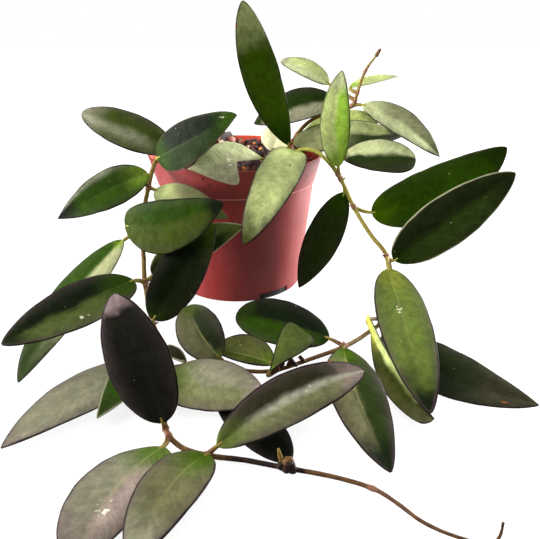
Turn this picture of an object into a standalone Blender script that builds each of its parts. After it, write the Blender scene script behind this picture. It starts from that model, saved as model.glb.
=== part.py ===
# A small-leaved trailing hoya in its 12 cm nursery pot.
# The pot stands on a flat surface. Two long stems hang over its rim, reach the surface and lie along it.
# Origin: the middle of the pot's underside, on the surface. +Z is up, -Y is the front, +X is the right.
# The design values below are in millimetres, and MM turns them into Blender's metres.

import math
from collections import namedtuple

import bmesh
import bpy
import numpy as np
from mathutils import Vector, noise

MM = 0.001

# Driving dimensions of the pot
RIM_RADIUS = 60.0
POT_HEIGHT = 94.3
FOOT_RADIUS = 45.7
COLLAR_HEIGHT = 19.3
COLLAR_FOOT_RADIUS = 54.9
COLLAR_STEP = 0.6
WALL = 1.2
FLOOR_THICKNESS = 1.5
LIP_ROUND = 0.6
POT_SIDES = 60

# Four drain notches in the foot
NOTCH_COUNT = 4
NOTCH_HEIGHT = 4.7
NOTCH_SPAN = 30.0
NOTCH_FIRST = 36.0
NOTCH_DEPTH = 6.0

# The bark soil
SOIL_LEVEL = 85.5
SOIL_DOME = 1.8
SOIL_ROUGHNESS = 1.3
SOIL_RINGS = 6
SOIL_SIDES = 28
CHIP_COUNT = 30
CHIP_SIZE = (7.0, 4.2, 2.4)
TOUCHING_GAP = 0.3
STEM_HOLE_GAP = 0.4
HOLE_TOP = 5.0
STEM_ROOT = 70.0

# Stems and leaf stalks
STEM_RADIUS = 1.35
STEM_SIDES = 6
STEM_STEP = 5.0
JOINT_RADIUS = 2.0
JOINT_LENGTH = 2.5
STALK_RADIUS = 1.05
STALK_SIDES = 5
STALK_STEPS = 3
STALK_SINK = 3.0
SPLINE_STEPS = 6

# Leaf blades
BLADE_THICKNESS = 1.1
BLADE_ROWS = 9
BLADE_COLUMNS = 2
BLADE_END = 0.004
SMALLEST_HALF_WIDTH = 0.4

# A route lists the points that a stem passes through, from its root in the soil outwards.
# tip is the radius at the far end, and bare lists the places of leafless joints along the route.
Stem = namedtuple("Stem", "route tip bare", defaults=(STEM_RADIUS, ()))

# joint is the leaf's place along its stem's route, as a point number with a fraction.
# base and tip are the ends of the blade, and facing is the side that its upper face looks to.
# arch lifts the middle of the blade, fold raises its two halves (degrees), bend curves it sideways,
# and shape says how blunt its base and its tip are, where a smaller value is blunter.
Leaf = namedtuple(
    "Leaf",
    "joint base tip width facing arch fold bend shape",
    defaults=(3, 8, 0, (0.62, 0.85)),
)

STEMS = {
    "left_trailer": Stem(
        [
            (-26, -10, STEM_ROOT),
            (-26, -12, 88),
            (-34, -24, 98),
            (-46, -39, 98),
            (-51, -52, 83),
            (-54, -68, 60),
            (-52, -77, 48),
            (-50, -88, 35),
            (-44, -104, 18),
            (-31, -128, 3),
            (-28, -154, 2.2),
            (-25, -175, 2.2),
            (-16, -187, 2.2),
            (-4, -192, 2.2),
            (13, -195, 2.2),
            (29, -199, 2.2),
            (50, -204, 2),
            (65, -210, 2),
            (73, -217, 2),
            (80, -225, 2),
            (87, -230, 2),
            (96, -234, 2),
            (102, -237, 3.5),
            (104, -238, 9),
            (104, -238, 16),
        ],
        0.5,
        (17,),
    ),
    "right_trailer": Stem(
        [
            (38, 0, STEM_ROOT),
            (38, -2, 88),
            (45, -10, 97),
            (56, -21, 96.8),
            (68, -29, 85),
            (77, -45, 68),
            (86, -60, 55),
            (95, -72, 45),
            (98, -79, 26),
            (94, -82, 7),
            (82, -92, 2.5),
            (67, -106, 2.5),
            (46, -119, 2.5),
            (27, -129, 2.2),
            (13, -130, 2.2),
            (-1, -125, 2.2),
        ],
        1.0,
    ),
    "back_shoot": Stem(
        [
            (36, 14, STEM_ROOT),
            (35, 14, 88),
            (43, 14, 103),
            (53, 14, 113),
            (69, 12, 120),
            (80, 10, 123),
            (83, 8, 132),
            (87, 6, 146),
            (95, 4, 158),
        ],
        0.7,
        (7,),
    ),
    "upright_shoot": Stem([(30, -5, STEM_ROOT), (30, -5, 88), (33, -6, 95)]),
    "front_shoot": Stem([(22, -32, STEM_ROOT), (22, -32, 88), (21, -35, 95)]),
    "side_shoot": Stem(
        [
            (46, 12, STEM_ROOT),
            (46, 12, 88),
            (52, 11, 96),
            (60, 8, 98),
            (67, 2, 95),
            (71, -3, 92.5),
        ],
        1.1,
    ),
}

LEAVES = {
    "upright_shoot": {
        "tall": Leaf(2, (37, -6, 99), (8, -34, 186), 24, (0.2, -1, 0.1), -2, 6, -3, (0.75, 0.68)),
        "hidden": Leaf(1.4, (25, 4, 93), (32, 4, 112), 22, (-0.2, -1, 0.2), 2),
    },
    "front_shoot": {
        "folded": Leaf(2, (19.5, -41, 99), (-22, -78, 96), 30, (0.1, -0.6, 0.9), 7, -12, 0, (0.9, 0.8)),
    },
    "side_shoot": {
        "upper": Leaf(1.4, (40, 6, 98), (118, 16, 101), 26, (0, -0.8, 0.8), 6, 12, 0, (0.5, 0.7)),
        "lower": Leaf(5, (73, -6, 91), (121, -16, 89), 26, (0, -0.85, 0.7), 5, 20, 0, (0.5, 0.5)),
    },
    "back_shoot": {
        "left": Leaf(4, (69, 12, 126), (12, 22, 109), 27, (0, -0.8, 0.7), 6, 16),
        "right": Leaf(5, (87, 8, 124), (139, -10, 92), 24, (0.3, -0.85, 0.8), 6, 12),
        "low": Leaf(2, (48, 22, 102), (104, 30, 111), 22, (0, -0.7, 0.8), 4, 8, 0, (0.6, 0.6)),
        "high": Leaf(5.5, (66, 14, 132), (31, 28, 152), 15.5, (0.2, -0.8, 0.6), 4, 8, 0, (0.55, 0.7)),
        "thin": Leaf(6, (78, 12, 135), (114, 26, 141), 11, (0, -0.35, 1), 1.5, 12),
    },
    "right_trailer": {
        "drape": Leaf(1.7, (40, -11, 96.5), (8, -83, 57), 26, (0.1, -1, 1.2), 22, 6, -3.2, (0.6, 0.62)),
        "upright": Leaf(4, (68, -29, 90), (66.5, -34, 149), 19, (-0.1, -1, 0.15), 4, 8, -3.3, (0.62, 0.75)),
        "inner": Leaf(4.1, (72, -36, 75), (44.3, -30, 3), 24, (-0.1, -1, 0.3), 3),
        "high": Leaf(5, (88, -48, 65), (161, -60, 109), 33, (0, -1, 0.2), 2, 8, 6, (0.5, 0.7)),
        "mid": Leaf(7, (98, -78, 45), (152, -96, 103), 30, (0, -1, 0.25), 2, 8, -1.3, (0.55, 0.7)),
        "hang": Leaf(7, (93, -86, 43), (95, -181, 15.5), 27, (-0.1, -0.8, 0.8), 5, 7, 1.1, (0.55, 0.68)),
        "under": Leaf(9, (91, -97, 5), (155, -161, 4), 32, (0, -0.5, 1), 3, 8, 7.5),
        "folded": Leaf(9, (81, -94, 13), (101, -171, 4), 18, (-0.6, -0.5, 0.8), 2, 22, 3.5, (1.1, 0.45)),
        "round": Leaf(11, (59, -98, 3), (3, -74, 8), 31, (0, -0.65, 1), 5, 8, -1.5, (0.55, 0.5)),
        "front": Leaf(11, (65, -116, 8), (74, -203, 3), 27.5, (0, -0.45, 1), 7, 10, 4.5, (0.75, 0.75)),
        "curl": Leaf(13, (22, -136, 4), (35, -118, 25), 17, (-0.4, -0.8, 0.2), 3, 14, 8, (1.0, 0.4)),
        "small": Leaf(13, (26, -131, 8), (-3, -121, 16), 17.5, (0, -0.8, 0.8), 3, 10, 0, (0.55, 0.5)),
        "end": Leaf(15, (-3, -129, 10), (-21, -112, 33), 25, (0.1, -1, 0.3), 2, 10, -2, (0.55, 0.5)),
    },
    "left_trailer": {
        "rim": Leaf(3, (-38, -36, 103), (-93, -30, 124), 25.5, (0.2, -0.9, 0.8), 4, 6, 0, (0.55, 0.6)),
        "cover": Leaf(3, (-46, -53, 99.5), (6, -75, 129), 25, (0.1, -1, 0.5), 4, 4, 1.5, (0.5, 0.7)),
        "short": Leaf(4, (-51, -50, 91), (-101, -70, 68), 27.5, (0, -0.8, 0.8), 4, 12, -1, (0.55, 0.85)),
        "shaded": Leaf(4, (-47, -52, 81), (-1.5, -68, 68.4), 20, (0, -0.8, 0.8), 7, 10, 2.5),
        "olive": Leaf(5, (-59.5, -82, 68.5), (-3, -92, 83), 31.5, (0, -1, 0.3), 3, 5, 3, (0.42, 0.7)),
        "tucked": Leaf(7, (-46, -84, 38), (8, -66, 62.6), 21, (0, -1, 0.3), 2, 6, -4, (0.5, 0.8)),
        "dark": Leaf(8, (-42.5, -108, 21.5), (-8, -76, 67), 26.5, (0, -1, 0.2), 2, 5, -0.8, (0.5, 0.7)),
        "long_low": Leaf(5, (-65, -70, 55), (-107, -143, 4), 31, (-0.3, -0.5, 1), -3, 8, 9, (0.6, 0.6)),
        "long_high": Leaf(7, (-54.5, -96, 40.5), (-105.5, -152, 33), 29, (0, -0.75, 1), 4, 10, -2, (0.5, 0.7)),
        "black": Leaf(11, (-25, -178, 8), (-43, -166, 68), 28.5, (0, -1, 0.1), 2, 4, 0.3, (0.55, 0.75)),
        "wilted": Leaf(9, (-24, -127, 4), (-31, -119, 13), 9, (0.3, -1, 0.4), 1, 14),
        "floor_long": Leaf(9, (-37, -127, 5), (-95, -189, 3), 28, (0, -0.2, 1), 4, 6, 3),
        "floor_tip": Leaf(8, (-45, -108, 14), (-54, -180, 12), 23, (0, -0.3, 1), 2, 8, -5, (0.62, 0.6)),
        "floor_grey": Leaf(11.4, (-23, -190, 5), (-45, -244, 3), 30, (0, -0.2, 1), 5, 6, 2, (0.45, 0.6)),
        "floor_olive": Leaf(13, (-2.5, -199, 9), (-24, -245, 8), 23.5, (0, -0.25, 1), 8, 6, 0.5, (0.5, 0.55)),
        "striped": Leaf(13, (1, -194, 9), (68, -162, 25), 23, (0.1, -0.9, 1), 3, 12, -4, (0.6, 0.62)),
        "floor_black": Leaf(15, (32, -198, 4), (-4, -156, 2.5), 20, (0, -0.3, 1), 2, 4, 2.2),
        "broad": Leaf(9, (-33, -141, 5), (21, -161, 10), 31.5, (0, -0.35, 1), 4, 5, 1, (0.55, 0.6)),
    },
}


def clear_scene():
    """Removes every object, so that the script can be run again."""
    for item in list(bpy.data.objects):
        bpy.data.objects.remove(item)


def material(name, colour, roughness, metallic=0.0):
    """A plain Principled material."""
    made = bpy.data.materials.new(name)
    made.use_nodes = True
    shader = made.node_tree.nodes["Principled BSDF"]
    shader.inputs["Base Color"].default_value = (*colour, 1.0)
    shader.inputs["Roughness"].default_value = roughness
    shader.inputs["Metallic"].default_value = metallic
    made.diffuse_color = (*colour, 1.0)
    return made


def new_object(name, vertices, faces, look=None):
    """A mesh object from points in millimetres, with its faces turned outwards."""
    mesh = bpy.data.meshes.new(name)
    mesh.from_pydata([tuple(np.array(point, float) * MM) for point in vertices], [], faces)
    shape = bmesh.new()
    shape.from_mesh(mesh)
    bmesh.ops.recalc_face_normals(shape, faces=shape.faces)
    shape.to_mesh(mesh)
    shape.free()
    made = bpy.data.objects.new(name, mesh)
    if look:
        mesh.materials.append(look)
    bpy.context.scene.collection.objects.link(made)
    return made


def turned(name, profile, sides, look=None, first=0.0, span=360.0):
    """Spins a profile of (radius, height) points round the Z axis. A full turn closes on itself."""
    whole = span >= 360.0
    steps = [math.radians(first + span * k / sides) for k in range(sides + (not whole))]
    rows = [[(r * math.cos(a), r * math.sin(a), z) for r, z in profile] for a in steps]
    count = len(profile)
    vertices = [point for row in rows for point in row]
    faces = []
    for k in range(sides):
        here, there = k * count, (k + 1) % len(rows) * count
        for j in range(count if not whole else count - 1):
            after = (j + 1) % count
            faces.append((here + j, there + j, there + after, here + after))
    if not whole:
        faces.append(tuple(range(count)))
        faces.append(tuple(range(sides * count, sides * count + count)))
    made = new_object(name, vertices, faces, look)
    shape = bmesh.new()
    shape.from_mesh(made.data)
    bmesh.ops.remove_doubles(shape, verts=shape.verts, dist=1e-6)
    bmesh.ops.recalc_face_normals(shape, faces=shape.faces)
    shape.to_mesh(made.data)
    shape.free()
    return made


def apply_modifiers(made):
    """Replaces an object's mesh by the one that its modifiers give."""
    graph = bpy.context.evaluated_depsgraph_get()
    mesh = bpy.data.meshes.new_from_object(made.evaluated_get(graph))
    made.modifiers.clear()
    made.data = mesh


def join_or_cut(made, others, operation, solver="EXACT"):
    """One Boolean of an object with a collection of others, which are removed afterwards."""
    group = bpy.data.collections.new("operands")
    bpy.context.scene.collection.children.link(group)
    for other in others:
        bpy.context.scene.collection.objects.unlink(other)
        group.objects.link(other)
    change = made.modifiers.new(operation.lower(), "BOOLEAN")
    change.operation = operation
    change.operand_type = "COLLECTION"
    change.collection = group
    change.solver = solver
    apply_modifiers(made)
    for other in others:
        bpy.data.objects.remove(other)
    bpy.data.collections.remove(group)


def shade(made, angle=40.0):
    """Smooth shading with sharp edges kept."""
    made.data.shade_smooth()
    made.data.set_sharp_from_angle(angle=math.radians(angle))


def inner_radius(height):
    """The radius of the pot's inner wall at a height."""
    collar_foot = POT_HEIGHT - COLLAR_HEIGHT
    if height <= collar_foot:
        share = height / collar_foot
        outer = FOOT_RADIUS + share * (COLLAR_FOOT_RADIUS - COLLAR_STEP - FOOT_RADIUS)
    else:
        share = (height - collar_foot) / COLLAR_HEIGHT
        outer = COLLAR_FOOT_RADIUS - COLLAR_STEP + share * (RIM_RADIUS - COLLAR_FOOT_RADIUS + COLLAR_STEP)
    return outer - WALL


def make_pot(look):
    """A tapered cup with a flared collar, a thin step under it and four notches in its foot."""
    collar_foot = POT_HEIGHT - COLLAR_HEIGHT
    inside_top = inner_radius(POT_HEIGHT)
    profile = [
        (0.0, 0.0),
        (FOOT_RADIUS - LIP_ROUND, 0.0),
        (FOOT_RADIUS, LIP_ROUND),
        (COLLAR_FOOT_RADIUS - COLLAR_STEP, collar_foot),
        (COLLAR_FOOT_RADIUS, collar_foot + COLLAR_STEP),
        (RIM_RADIUS, POT_HEIGHT - LIP_ROUND),
        (RIM_RADIUS - LIP_ROUND / 2, POT_HEIGHT),
        (inside_top + LIP_ROUND / 2, POT_HEIGHT),
        (inside_top, POT_HEIGHT - LIP_ROUND),
        (inner_radius(collar_foot), collar_foot),
        (inner_radius(FLOOR_THICKNESS), FLOOR_THICKNESS),
        (0.0, FLOOR_THICKNESS),
    ]
    pot = turned("pot", profile, POT_SIDES, look)
    inner, outer = FOOT_RADIUS - NOTCH_DEPTH, FOOT_RADIUS + NOTCH_DEPTH
    box = [(inner, -1.0), (outer, -1.0), (outer, NOTCH_HEIGHT), (inner, NOTCH_HEIGHT)]
    cutters = []
    for k in range(NOTCH_COUNT):
        first = NOTCH_FIRST - 90.0 - NOTCH_SPAN / 2 + 360.0 * k / NOTCH_COUNT
        cutters.append(turned(f"notch_{k}", box, 6, None, first, NOTCH_SPAN))
    join_or_cut(pot, cutters, "DIFFERENCE")
    shade(pot, 30.0)
    return pot


def soil_height(x, y):
    """The uneven surface of the bark, a little higher in the middle."""
    away = min(1.0, math.hypot(x, y) / inner_radius(SOIL_LEVEL))
    bumps = noise.noise(Vector((x / 9.0, y / 9.0, 3.1))) + 0.6 * noise.noise(Vector((x / 4.0, y / 4.0, 8.7)))
    return SOIL_LEVEL + SOIL_DOME * (1 - away**2) + SOIL_ROUGHNESS * bumps


def make_chip(index, holes):
    """A flat splinter of bark, half sunk in the soil, placed by the golden angle and turned by its number."""
    reach = inner_radius(SOIL_LEVEL) - CHIP_SIZE[0] * 0.75
    away = reach * math.sqrt((index + 0.5) / CHIP_COUNT)
    turn = index * 2.39996
    x, y = away * math.cos(turn), away * math.sin(turn)
    if any(math.hypot(x - hx, y - hy) < CHIP_SIZE[0] * 0.8 for hx, hy in holes):
        return None
    size = [side * (0.75 + 0.5 * noise.cell(Vector((index, k, 5)))) for k, side in enumerate(CHIP_SIZE)]
    made = new_object(f"chip_{index}", *box_mesh(size))
    heading = Vector((0.35 * math.sin(index * 1.7), 0.35 * math.cos(index * 2.3), index * 1.31))
    made.rotation_euler = heading
    made.location = Vector((x, y, soil_height(x, y) + size[2] * 0.2)) * MM
    return made


def box_mesh(size):
    """The corners and faces of a box whose top is a little smaller than its foot."""
    corners = []
    for z, shrink in ((-0.5, 1.0), (0.5, 0.7)):
        for x, y in ((-0.5, -0.5), (0.5, -0.5), (0.5, 0.5), (-0.5, 0.5)):
            corners.append((x * shrink * size[0], y * shrink * size[1], z * size[2]))
    faces = [(3, 2, 1, 0), (4, 5, 6, 7)]
    faces += [(k, (k + 1) % 4, (k + 1) % 4 + 4, k + 4) for k in range(4)]
    return corners, faces


def make_soil(look):
    """The bark fills the pot to its level, clear of the wall, with a plain hole for each stem."""
    bottom = FLOOR_THICKNESS + TOUCHING_GAP
    edge = inner_radius(SOIL_LEVEL) - TOUCHING_GAP
    vertices = [(0.0, 0.0, soil_height(0, 0))]
    faces = []
    turns = [2 * math.pi * k / SOIL_SIDES for k in range(SOIL_SIDES)]
    for ring in range(1, SOIL_RINGS + 1):
        r = edge * ring / SOIL_RINGS
        vertices += [(r * math.cos(a), r * math.sin(a), soil_height(r * math.cos(a), r * math.sin(a))) for a in turns]
    low = inner_radius(bottom) - TOUCHING_GAP
    knee_height = POT_HEIGHT - COLLAR_HEIGHT
    knee = inner_radius(knee_height) - TOUCHING_GAP
    vertices += [(knee * math.cos(a), knee * math.sin(a), knee_height) for a in turns]
    vertices += [(low * math.cos(a), low * math.sin(a), bottom) for a in turns]
    for k in range(SOIL_SIDES):
        after = (k + 1) % SOIL_SIDES
        faces.append((0, 1 + k, 1 + after))
        for ring in range(SOIL_RINGS + 1):
            here, there = 1 + ring * SOIL_SIDES, 1 + (ring + 1) * SOIL_SIDES
            faces.append((here + k, there + k, there + after))
            faces.append((here + k, there + after, here + after))
    last = 1 + (SOIL_RINGS + 1) * SOIL_SIDES
    faces.append(tuple(last + k for k in range(SOIL_SIDES)))
    soil = new_object("soil", vertices, faces, look)
    holes = [stem.route[0][:2] for stem in STEMS.values()]
    chips = [make_chip(index, holes) for index in range(CHIP_COUNT)]
    join_or_cut(soil, [chip for chip in chips if chip], "UNION")
    drills = [stem_hole(name, stem) for name, stem in STEMS.items()]
    join_or_cut(soil, drills, "DIFFERENCE")
    return soil


def stem_hole(name, stem):
    """A slightly wider copy of a stem's first stretch, which cuts its hole in the soil."""
    points, radii = stem_stations(stem, joints_of(name))
    count = next(k for k, point in enumerate(points) if point[2] > SOIL_LEVEL + HOLE_TOP)
    root = points[0] - np.array([0, 0, TOUCHING_GAP])
    points = [root] + points[1 : count + 1]
    radii = [radius + STEM_HOLE_GAP for radius in radii[: count + 1]]
    return tube(f"hole_{name}", points, radii, STEM_SIDES * 2)


def unit(vector):
    """A vector of length 1."""
    vector = np.array(vector, float)
    return vector / np.linalg.norm(vector)


def spline(points, steps=SPLINE_STEPS):
    """A smooth curve through points, with equal numbers of steps between them."""
    points = np.array(points, float)
    padded = np.vstack([2 * points[0] - points[1], points, 2 * points[-1] - points[-2]])
    curve = []
    for k in range(1, len(padded) - 2):
        before, here, there, after = padded[k - 1 : k + 3]
        for t in np.arange(steps) / steps:
            curve.append(
                0.5
                * (
                    2 * here
                    + (there - before) * t
                    + (2 * before - 5 * here + 4 * there - after) * t**2
                    + (3 * here - before - 3 * there + after) * t**3
                )
            )
    return np.array(curve + [points[-1]])


def stem_path(stem):
    """The smooth curve of a stem."""
    return spline(stem.route)


def place_on(stem, joint):
    """The point of a stem at a place along its route."""
    curve = stem_path(stem)
    return curve[min(len(curve) - 1, round(joint * SPLINE_STEPS))]


def tube(name, points, radii, sides, look=None):
    """A closed tube round a line of points, each with its own radius."""
    points = np.array(points, float)
    along = np.gradient(points, axis=0)
    guide = unit(np.cross(unit(along[0]), (0.31, 0.95, 0.05)))
    vertices = []
    for point, direction, radius in zip(points, along, radii):
        direction = unit(direction)
        guide = unit(guide - direction * (guide @ direction))
        other = np.cross(direction, guide)
        for k in range(sides):
            turn = 2 * math.pi * k / sides
            vertices.append(point + radius * (math.cos(turn) * guide + math.sin(turn) * other))
    faces = []
    for row in range(len(points) - 1):
        for k in range(sides):
            after = (k + 1) % sides
            low, high = row * sides, (row + 1) * sides
            faces.append((low + k, low + after, high + after, high + k))
    end = (len(points) - 1) * sides
    faces.append(tuple(range(sides))[::-1])
    faces.append(tuple(end + k for k in range(sides)))
    return new_object(name, vertices, faces, look)


def joints_of(name):
    """The places of a stem's joints: one at each leaf, and the leafless ones."""
    return [leaf.joint for leaf in LEAVES[name].values()] + list(STEMS[name].bare)


def stem_stations(stem, joints):
    """Points along a tapering stem, with a thicker ring at every joint."""
    curve = stem_path(stem)
    lengths = np.concatenate([[0], np.cumsum(np.linalg.norm(np.diff(curve, axis=0), axis=1))])
    total = lengths[-1]
    rings = sorted({lengths[min(len(curve) - 1, round(joint * SPLINE_STEPS))] for joint in joints})
    marks = [ring + side for ring in rings for side in (-JOINT_LENGTH, 0.0, JOINT_LENGTH)]
    plain = np.arange(0.0, total, STEM_STEP)
    stops = [stop for stop in plain if all(abs(stop - mark) > JOINT_LENGTH * 0.8 for mark in marks)]
    kept = []
    for stop in sorted(stops + [mark for mark in marks if 0 < mark < total] + [0.0, total]):
        if not kept or stop - kept[-1] > JOINT_LENGTH * 0.4:
            kept.append(stop)
    kept[-1] = total
    points = [np.array([np.interp(stop, lengths, curve[:, axis]) for axis in range(3)]) for stop in kept]
    radii = []
    for stop in kept:
        share = stop / total
        plain_radius = STEM_RADIUS + (stem.tip - STEM_RADIUS) * share**4
        swell = max([math.exp(-(((stop - ring) / JOINT_LENGTH) ** 2) * 3) for ring in rings] + [0.0])
        radii.append(plain_radius + (JOINT_RADIUS - STEM_RADIUS) * swell * plain_radius / STEM_RADIUS)
    return points, radii


def half_width(share, leaf):
    """Half of the blade's width at a share of its length. The outline is blunt at its base, narrower at its tip."""
    blunt, point = leaf.shape
    peak = blunt / (blunt + point)
    highest = peak**blunt * (1 - peak) ** point
    return max(leaf.width / 2 * share**blunt * (1 - share) ** point / highest, SMALLEST_HALF_WIDTH)


def blade_frame(leaf, share):
    """The middle of the blade at a share of its length, with its directions along, across and upwards."""
    base, tip = np.array(leaf.base, float), np.array(leaf.tip, float)
    length = np.linalg.norm(tip - base)
    axis = (tip - base) / length
    face = np.array(leaf.facing, float)
    face = unit(face - axis * (face @ axis))
    side = np.cross(axis, face)
    rise = 4 * share * (1 - share)
    slope = 4 * (1 - 2 * share)
    middle = base + axis * length * share + face * leaf.arch * rise + side * leaf.bend * rise
    along = unit(axis * length + face * leaf.arch * slope + side * leaf.bend * slope)
    up = unit(face - along * (face @ along))
    return middle, along, np.cross(along, up), up


def blade_grid(leaf):
    """The middle surface of a blade: rows from base to tip, and columns from one margin to the other."""
    rows = []
    fold = math.radians(leaf.fold)
    for k in range(BLADE_ROWS + 1):
        share = k / BLADE_ROWS
        share = 0.65 * share + 0.35 * (0.5 - 0.5 * math.cos(math.pi * share))
        share = BLADE_END + (1 - 2 * BLADE_END) * share
        middle, _, across, up = blade_frame(leaf, share)
        reach = half_width(share, leaf)
        row = []
        for j in range(BLADE_COLUMNS + 1):
            t = 2 * j / BLADE_COLUMNS - 1
            row.append(middle + across * t * reach * math.cos(fold) + up * abs(t) * reach * math.sin(fold))
        rows.append(row)
    return np.array(rows)


def make_blade(name, leaf):
    """A closed blade of even thickness, whose two faces have the same triangles."""
    grid = blade_grid(leaf)
    across = np.gradient(grid, axis=1)
    along = np.gradient(grid, axis=0)
    normal = np.cross(along, across)
    normal /= np.linalg.norm(normal, axis=2)[:, :, None]
    upper = (grid - normal * BLADE_THICKNESS / 2).reshape(-1, 3)
    lower = (grid + normal * BLADE_THICKNESS / 2).reshape(-1, 3)
    count = len(upper)
    wide = BLADE_COLUMNS + 1
    faces = []
    for row in range(BLADE_ROWS):
        for column in range(BLADE_COLUMNS):
            a = row * wide + column
            b, c, d = a + wide, a + wide + 1, a + 1
            pair = [(a, b, c), (a, c, d)] if column < BLADE_COLUMNS / 2 else [(a, b, d), (b, c, d)]
            faces += pair
            faces += [tuple(corner + count for corner in reversed(face)) for face in pair]
    rim = [row * wide for row in range(BLADE_ROWS + 1)]
    rim += [BLADE_ROWS * wide + column for column in range(1, wide)]
    rim += [row * wide + wide - 1 for row in range(BLADE_ROWS - 1, -1, -1)]
    rim += [column for column in range(wide - 2, 0, -1)]
    for here, there in zip(rim, rim[1:] + rim[:1]):
        faces += [(here, here + count, there + count), (here, there + count, there)]
    return new_object(name, np.vstack([upper, lower]), faces)


def make_stalk(name, leaf, start):
    """A short curved stalk from the stem's joint into the foot of the blade."""
    foot, along, _, _ = blade_frame(leaf, BLADE_END)
    start = np.array(start, float)
    end = foot + along * STALK_SINK
    bend = foot - along * 0.5 * np.linalg.norm(foot - start)
    points = []
    for k in range(STALK_STEPS + 1):
        t = k / STALK_STEPS
        points.append((1 - t) ** 2 * start + 2 * t * (1 - t) * bend + t**2 * end)
    radii = [STALK_RADIUS] * STALK_STEPS + [STALK_RADIUS * 0.6]
    return tube(name, points, radii, STALK_SIDES)


def make_leafy_stem(name, stem, leaves, look):
    """One stem with its leaves, fused into one body."""
    points, radii = stem_stations(stem, joints_of(name))
    made = tube(name, points, radii, STEM_SIDES, look)
    pieces = []
    for label, leaf in leaves.items():
        pieces.append(make_blade(f"{name}_{label}_blade", leaf))
        pieces.append(make_stalk(f"{name}_{label}_stalk", leaf, place_on(stem, leaf.joint)))
    join_or_cut(made, pieces, "UNION")
    shade(made)
    return made


def main():
    clear_scene()
    make_pot(material("terracotta plastic", (0.36, 0.085, 0.07), 0.4))
    make_soil(material("bark soil", (0.05, 0.022, 0.016), 0.9))
    foliage = material("hoya leaf", (0.055, 0.11, 0.03), 0.42)
    for name, stem in STEMS.items():
        make_leafy_stem(name, stem, LEAVES[name], foliage)


main()
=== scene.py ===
# %% [markdown]
# # A potted trailing hoya
#
# A small-leaved hoya hangs out of its nursery pot. Two long stems climb over the rim, reach the table and
# lie along it, and some forty leathery leaves stand off them, mostly in pairs. A imported model already says
# where every stem and leaf is. This lesson keeps that frame and dresses it: each plain solid is replaced by
# a finer piece of the same form, with a finish made of nodes.
#
# The frame comes first. The dressed plant may not grow past it.

# %% Load the frame
import math
from collections import namedtuple

import bmesh
import bpy
import numpy as np
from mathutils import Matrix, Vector, noise


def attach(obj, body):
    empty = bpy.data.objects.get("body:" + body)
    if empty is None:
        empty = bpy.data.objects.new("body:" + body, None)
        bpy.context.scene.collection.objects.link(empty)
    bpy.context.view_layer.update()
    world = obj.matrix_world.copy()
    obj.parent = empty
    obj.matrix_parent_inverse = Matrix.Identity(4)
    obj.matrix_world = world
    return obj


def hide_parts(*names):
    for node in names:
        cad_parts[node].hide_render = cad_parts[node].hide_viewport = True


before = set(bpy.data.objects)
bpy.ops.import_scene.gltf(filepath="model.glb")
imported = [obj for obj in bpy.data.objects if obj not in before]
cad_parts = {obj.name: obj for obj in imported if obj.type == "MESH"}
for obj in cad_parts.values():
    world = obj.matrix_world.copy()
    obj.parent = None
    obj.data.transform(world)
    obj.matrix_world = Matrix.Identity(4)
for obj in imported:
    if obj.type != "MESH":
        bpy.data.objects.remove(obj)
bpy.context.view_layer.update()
MM = 0.001

# %% [markdown]
# ## The camera
#
# The pot's rim is a circle that looks like an ellipse in a picture, and how flat that ellipse is gives the
# camera's tilt. The camera looks down a little and stands close, so that the leaves in front look larger.
# A wide lens far away could frame the same plant, but it would lose that closeness.

# %% Place the camera
LOOK_DOWN = 24.43
CAMERA_PLACE = (0.0236, -0.3672, 0.1705)
SENSOR_WIDTH = 36.0
LENS = 35.11


def new_object(name, data):
    """A new object in the scene, at the origin and unturned."""
    made = bpy.data.objects.new(name, data)
    bpy.context.scene.collection.objects.link(made)
    return made


def add_camera():
    """A camera at its measured place, level from side to side."""
    data = bpy.data.cameras.new("camera")
    data.sensor_width = SENSOR_WIDTH
    data.lens = LENS
    data.clip_start = 0.01
    made = new_object("camera", data)
    made.location = CAMERA_PLACE
    made.rotation_euler = (math.radians(90 - LOOK_DOWN), 0, 0)
    bpy.context.scene.camera = made
    return made


camera = add_camera()
bpy.context.scene.view_settings.view_transform = "Standard"
print("camera at", tuple(camera.location))

# %% [markdown]
# ## Joining nodes with plain sums
#
# Materials and Geometry Nodes are both built from small math nodes. Writing each node out by hand makes a
# curve's rule hard to read. A wire is a node's output that knows Python's own signs, so `a * b + 1` adds
# two math nodes and joins them. Trees built this way read like the formula they stand for.

# %% Wires
def sign(operation, turned_round=False):
    """A method for one of Python's signs. turned_round is for a wire that stands on the right of the sign."""

    def method(self, other):
        return compute(operation, other, self) if turned_round else compute(operation, self, other)

    return method


class Wire:
    """A node's output. Each of Python's signs adds one math node and gives its output as a new wire."""

    def __init__(self, tree, socket):
        self.tree = tree
        self.socket = socket

    def __abs__(self):
        return compute("ABSOLUTE", self)

    __add__, __radd__ = sign("ADD"), sign("ADD", True)
    __sub__, __rsub__ = sign("SUBTRACT"), sign("SUBTRACT", True)
    __mul__, __rmul__ = sign("MULTIPLY"), sign("MULTIPLY", True)
    __truediv__, __rtruediv__ = sign("DIVIDE"), sign("DIVIDE", True)
    __pow__ = sign("POWER")
    __matmul__ = sign("DOT_PRODUCT")


def is_vector(value):
    """True for three numbers and for a wire that carries three."""
    if isinstance(value, Wire):
        return value.socket.type in ("VECTOR", "RGBA")
    return isinstance(value, (tuple, list))


def feed(tree, socket, value):
    """Joins a wire to a socket, or writes a plain value into it."""
    if isinstance(value, Wire):
        tree.links.new(value.socket, socket)
    else:
        socket.default_value = value


def add(tree, kind, sockets=None, **settings):
    """Adds a node, sets it up and fills its sockets by name."""
    node = tree.nodes.new(kind)
    for name, value in settings.items():
        setattr(node, name, value)
    for name, value in (sockets or {}).items():
        feed(tree, next(s for s in node.inputs if s.name == name and s.enabled), value)
    return node


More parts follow.
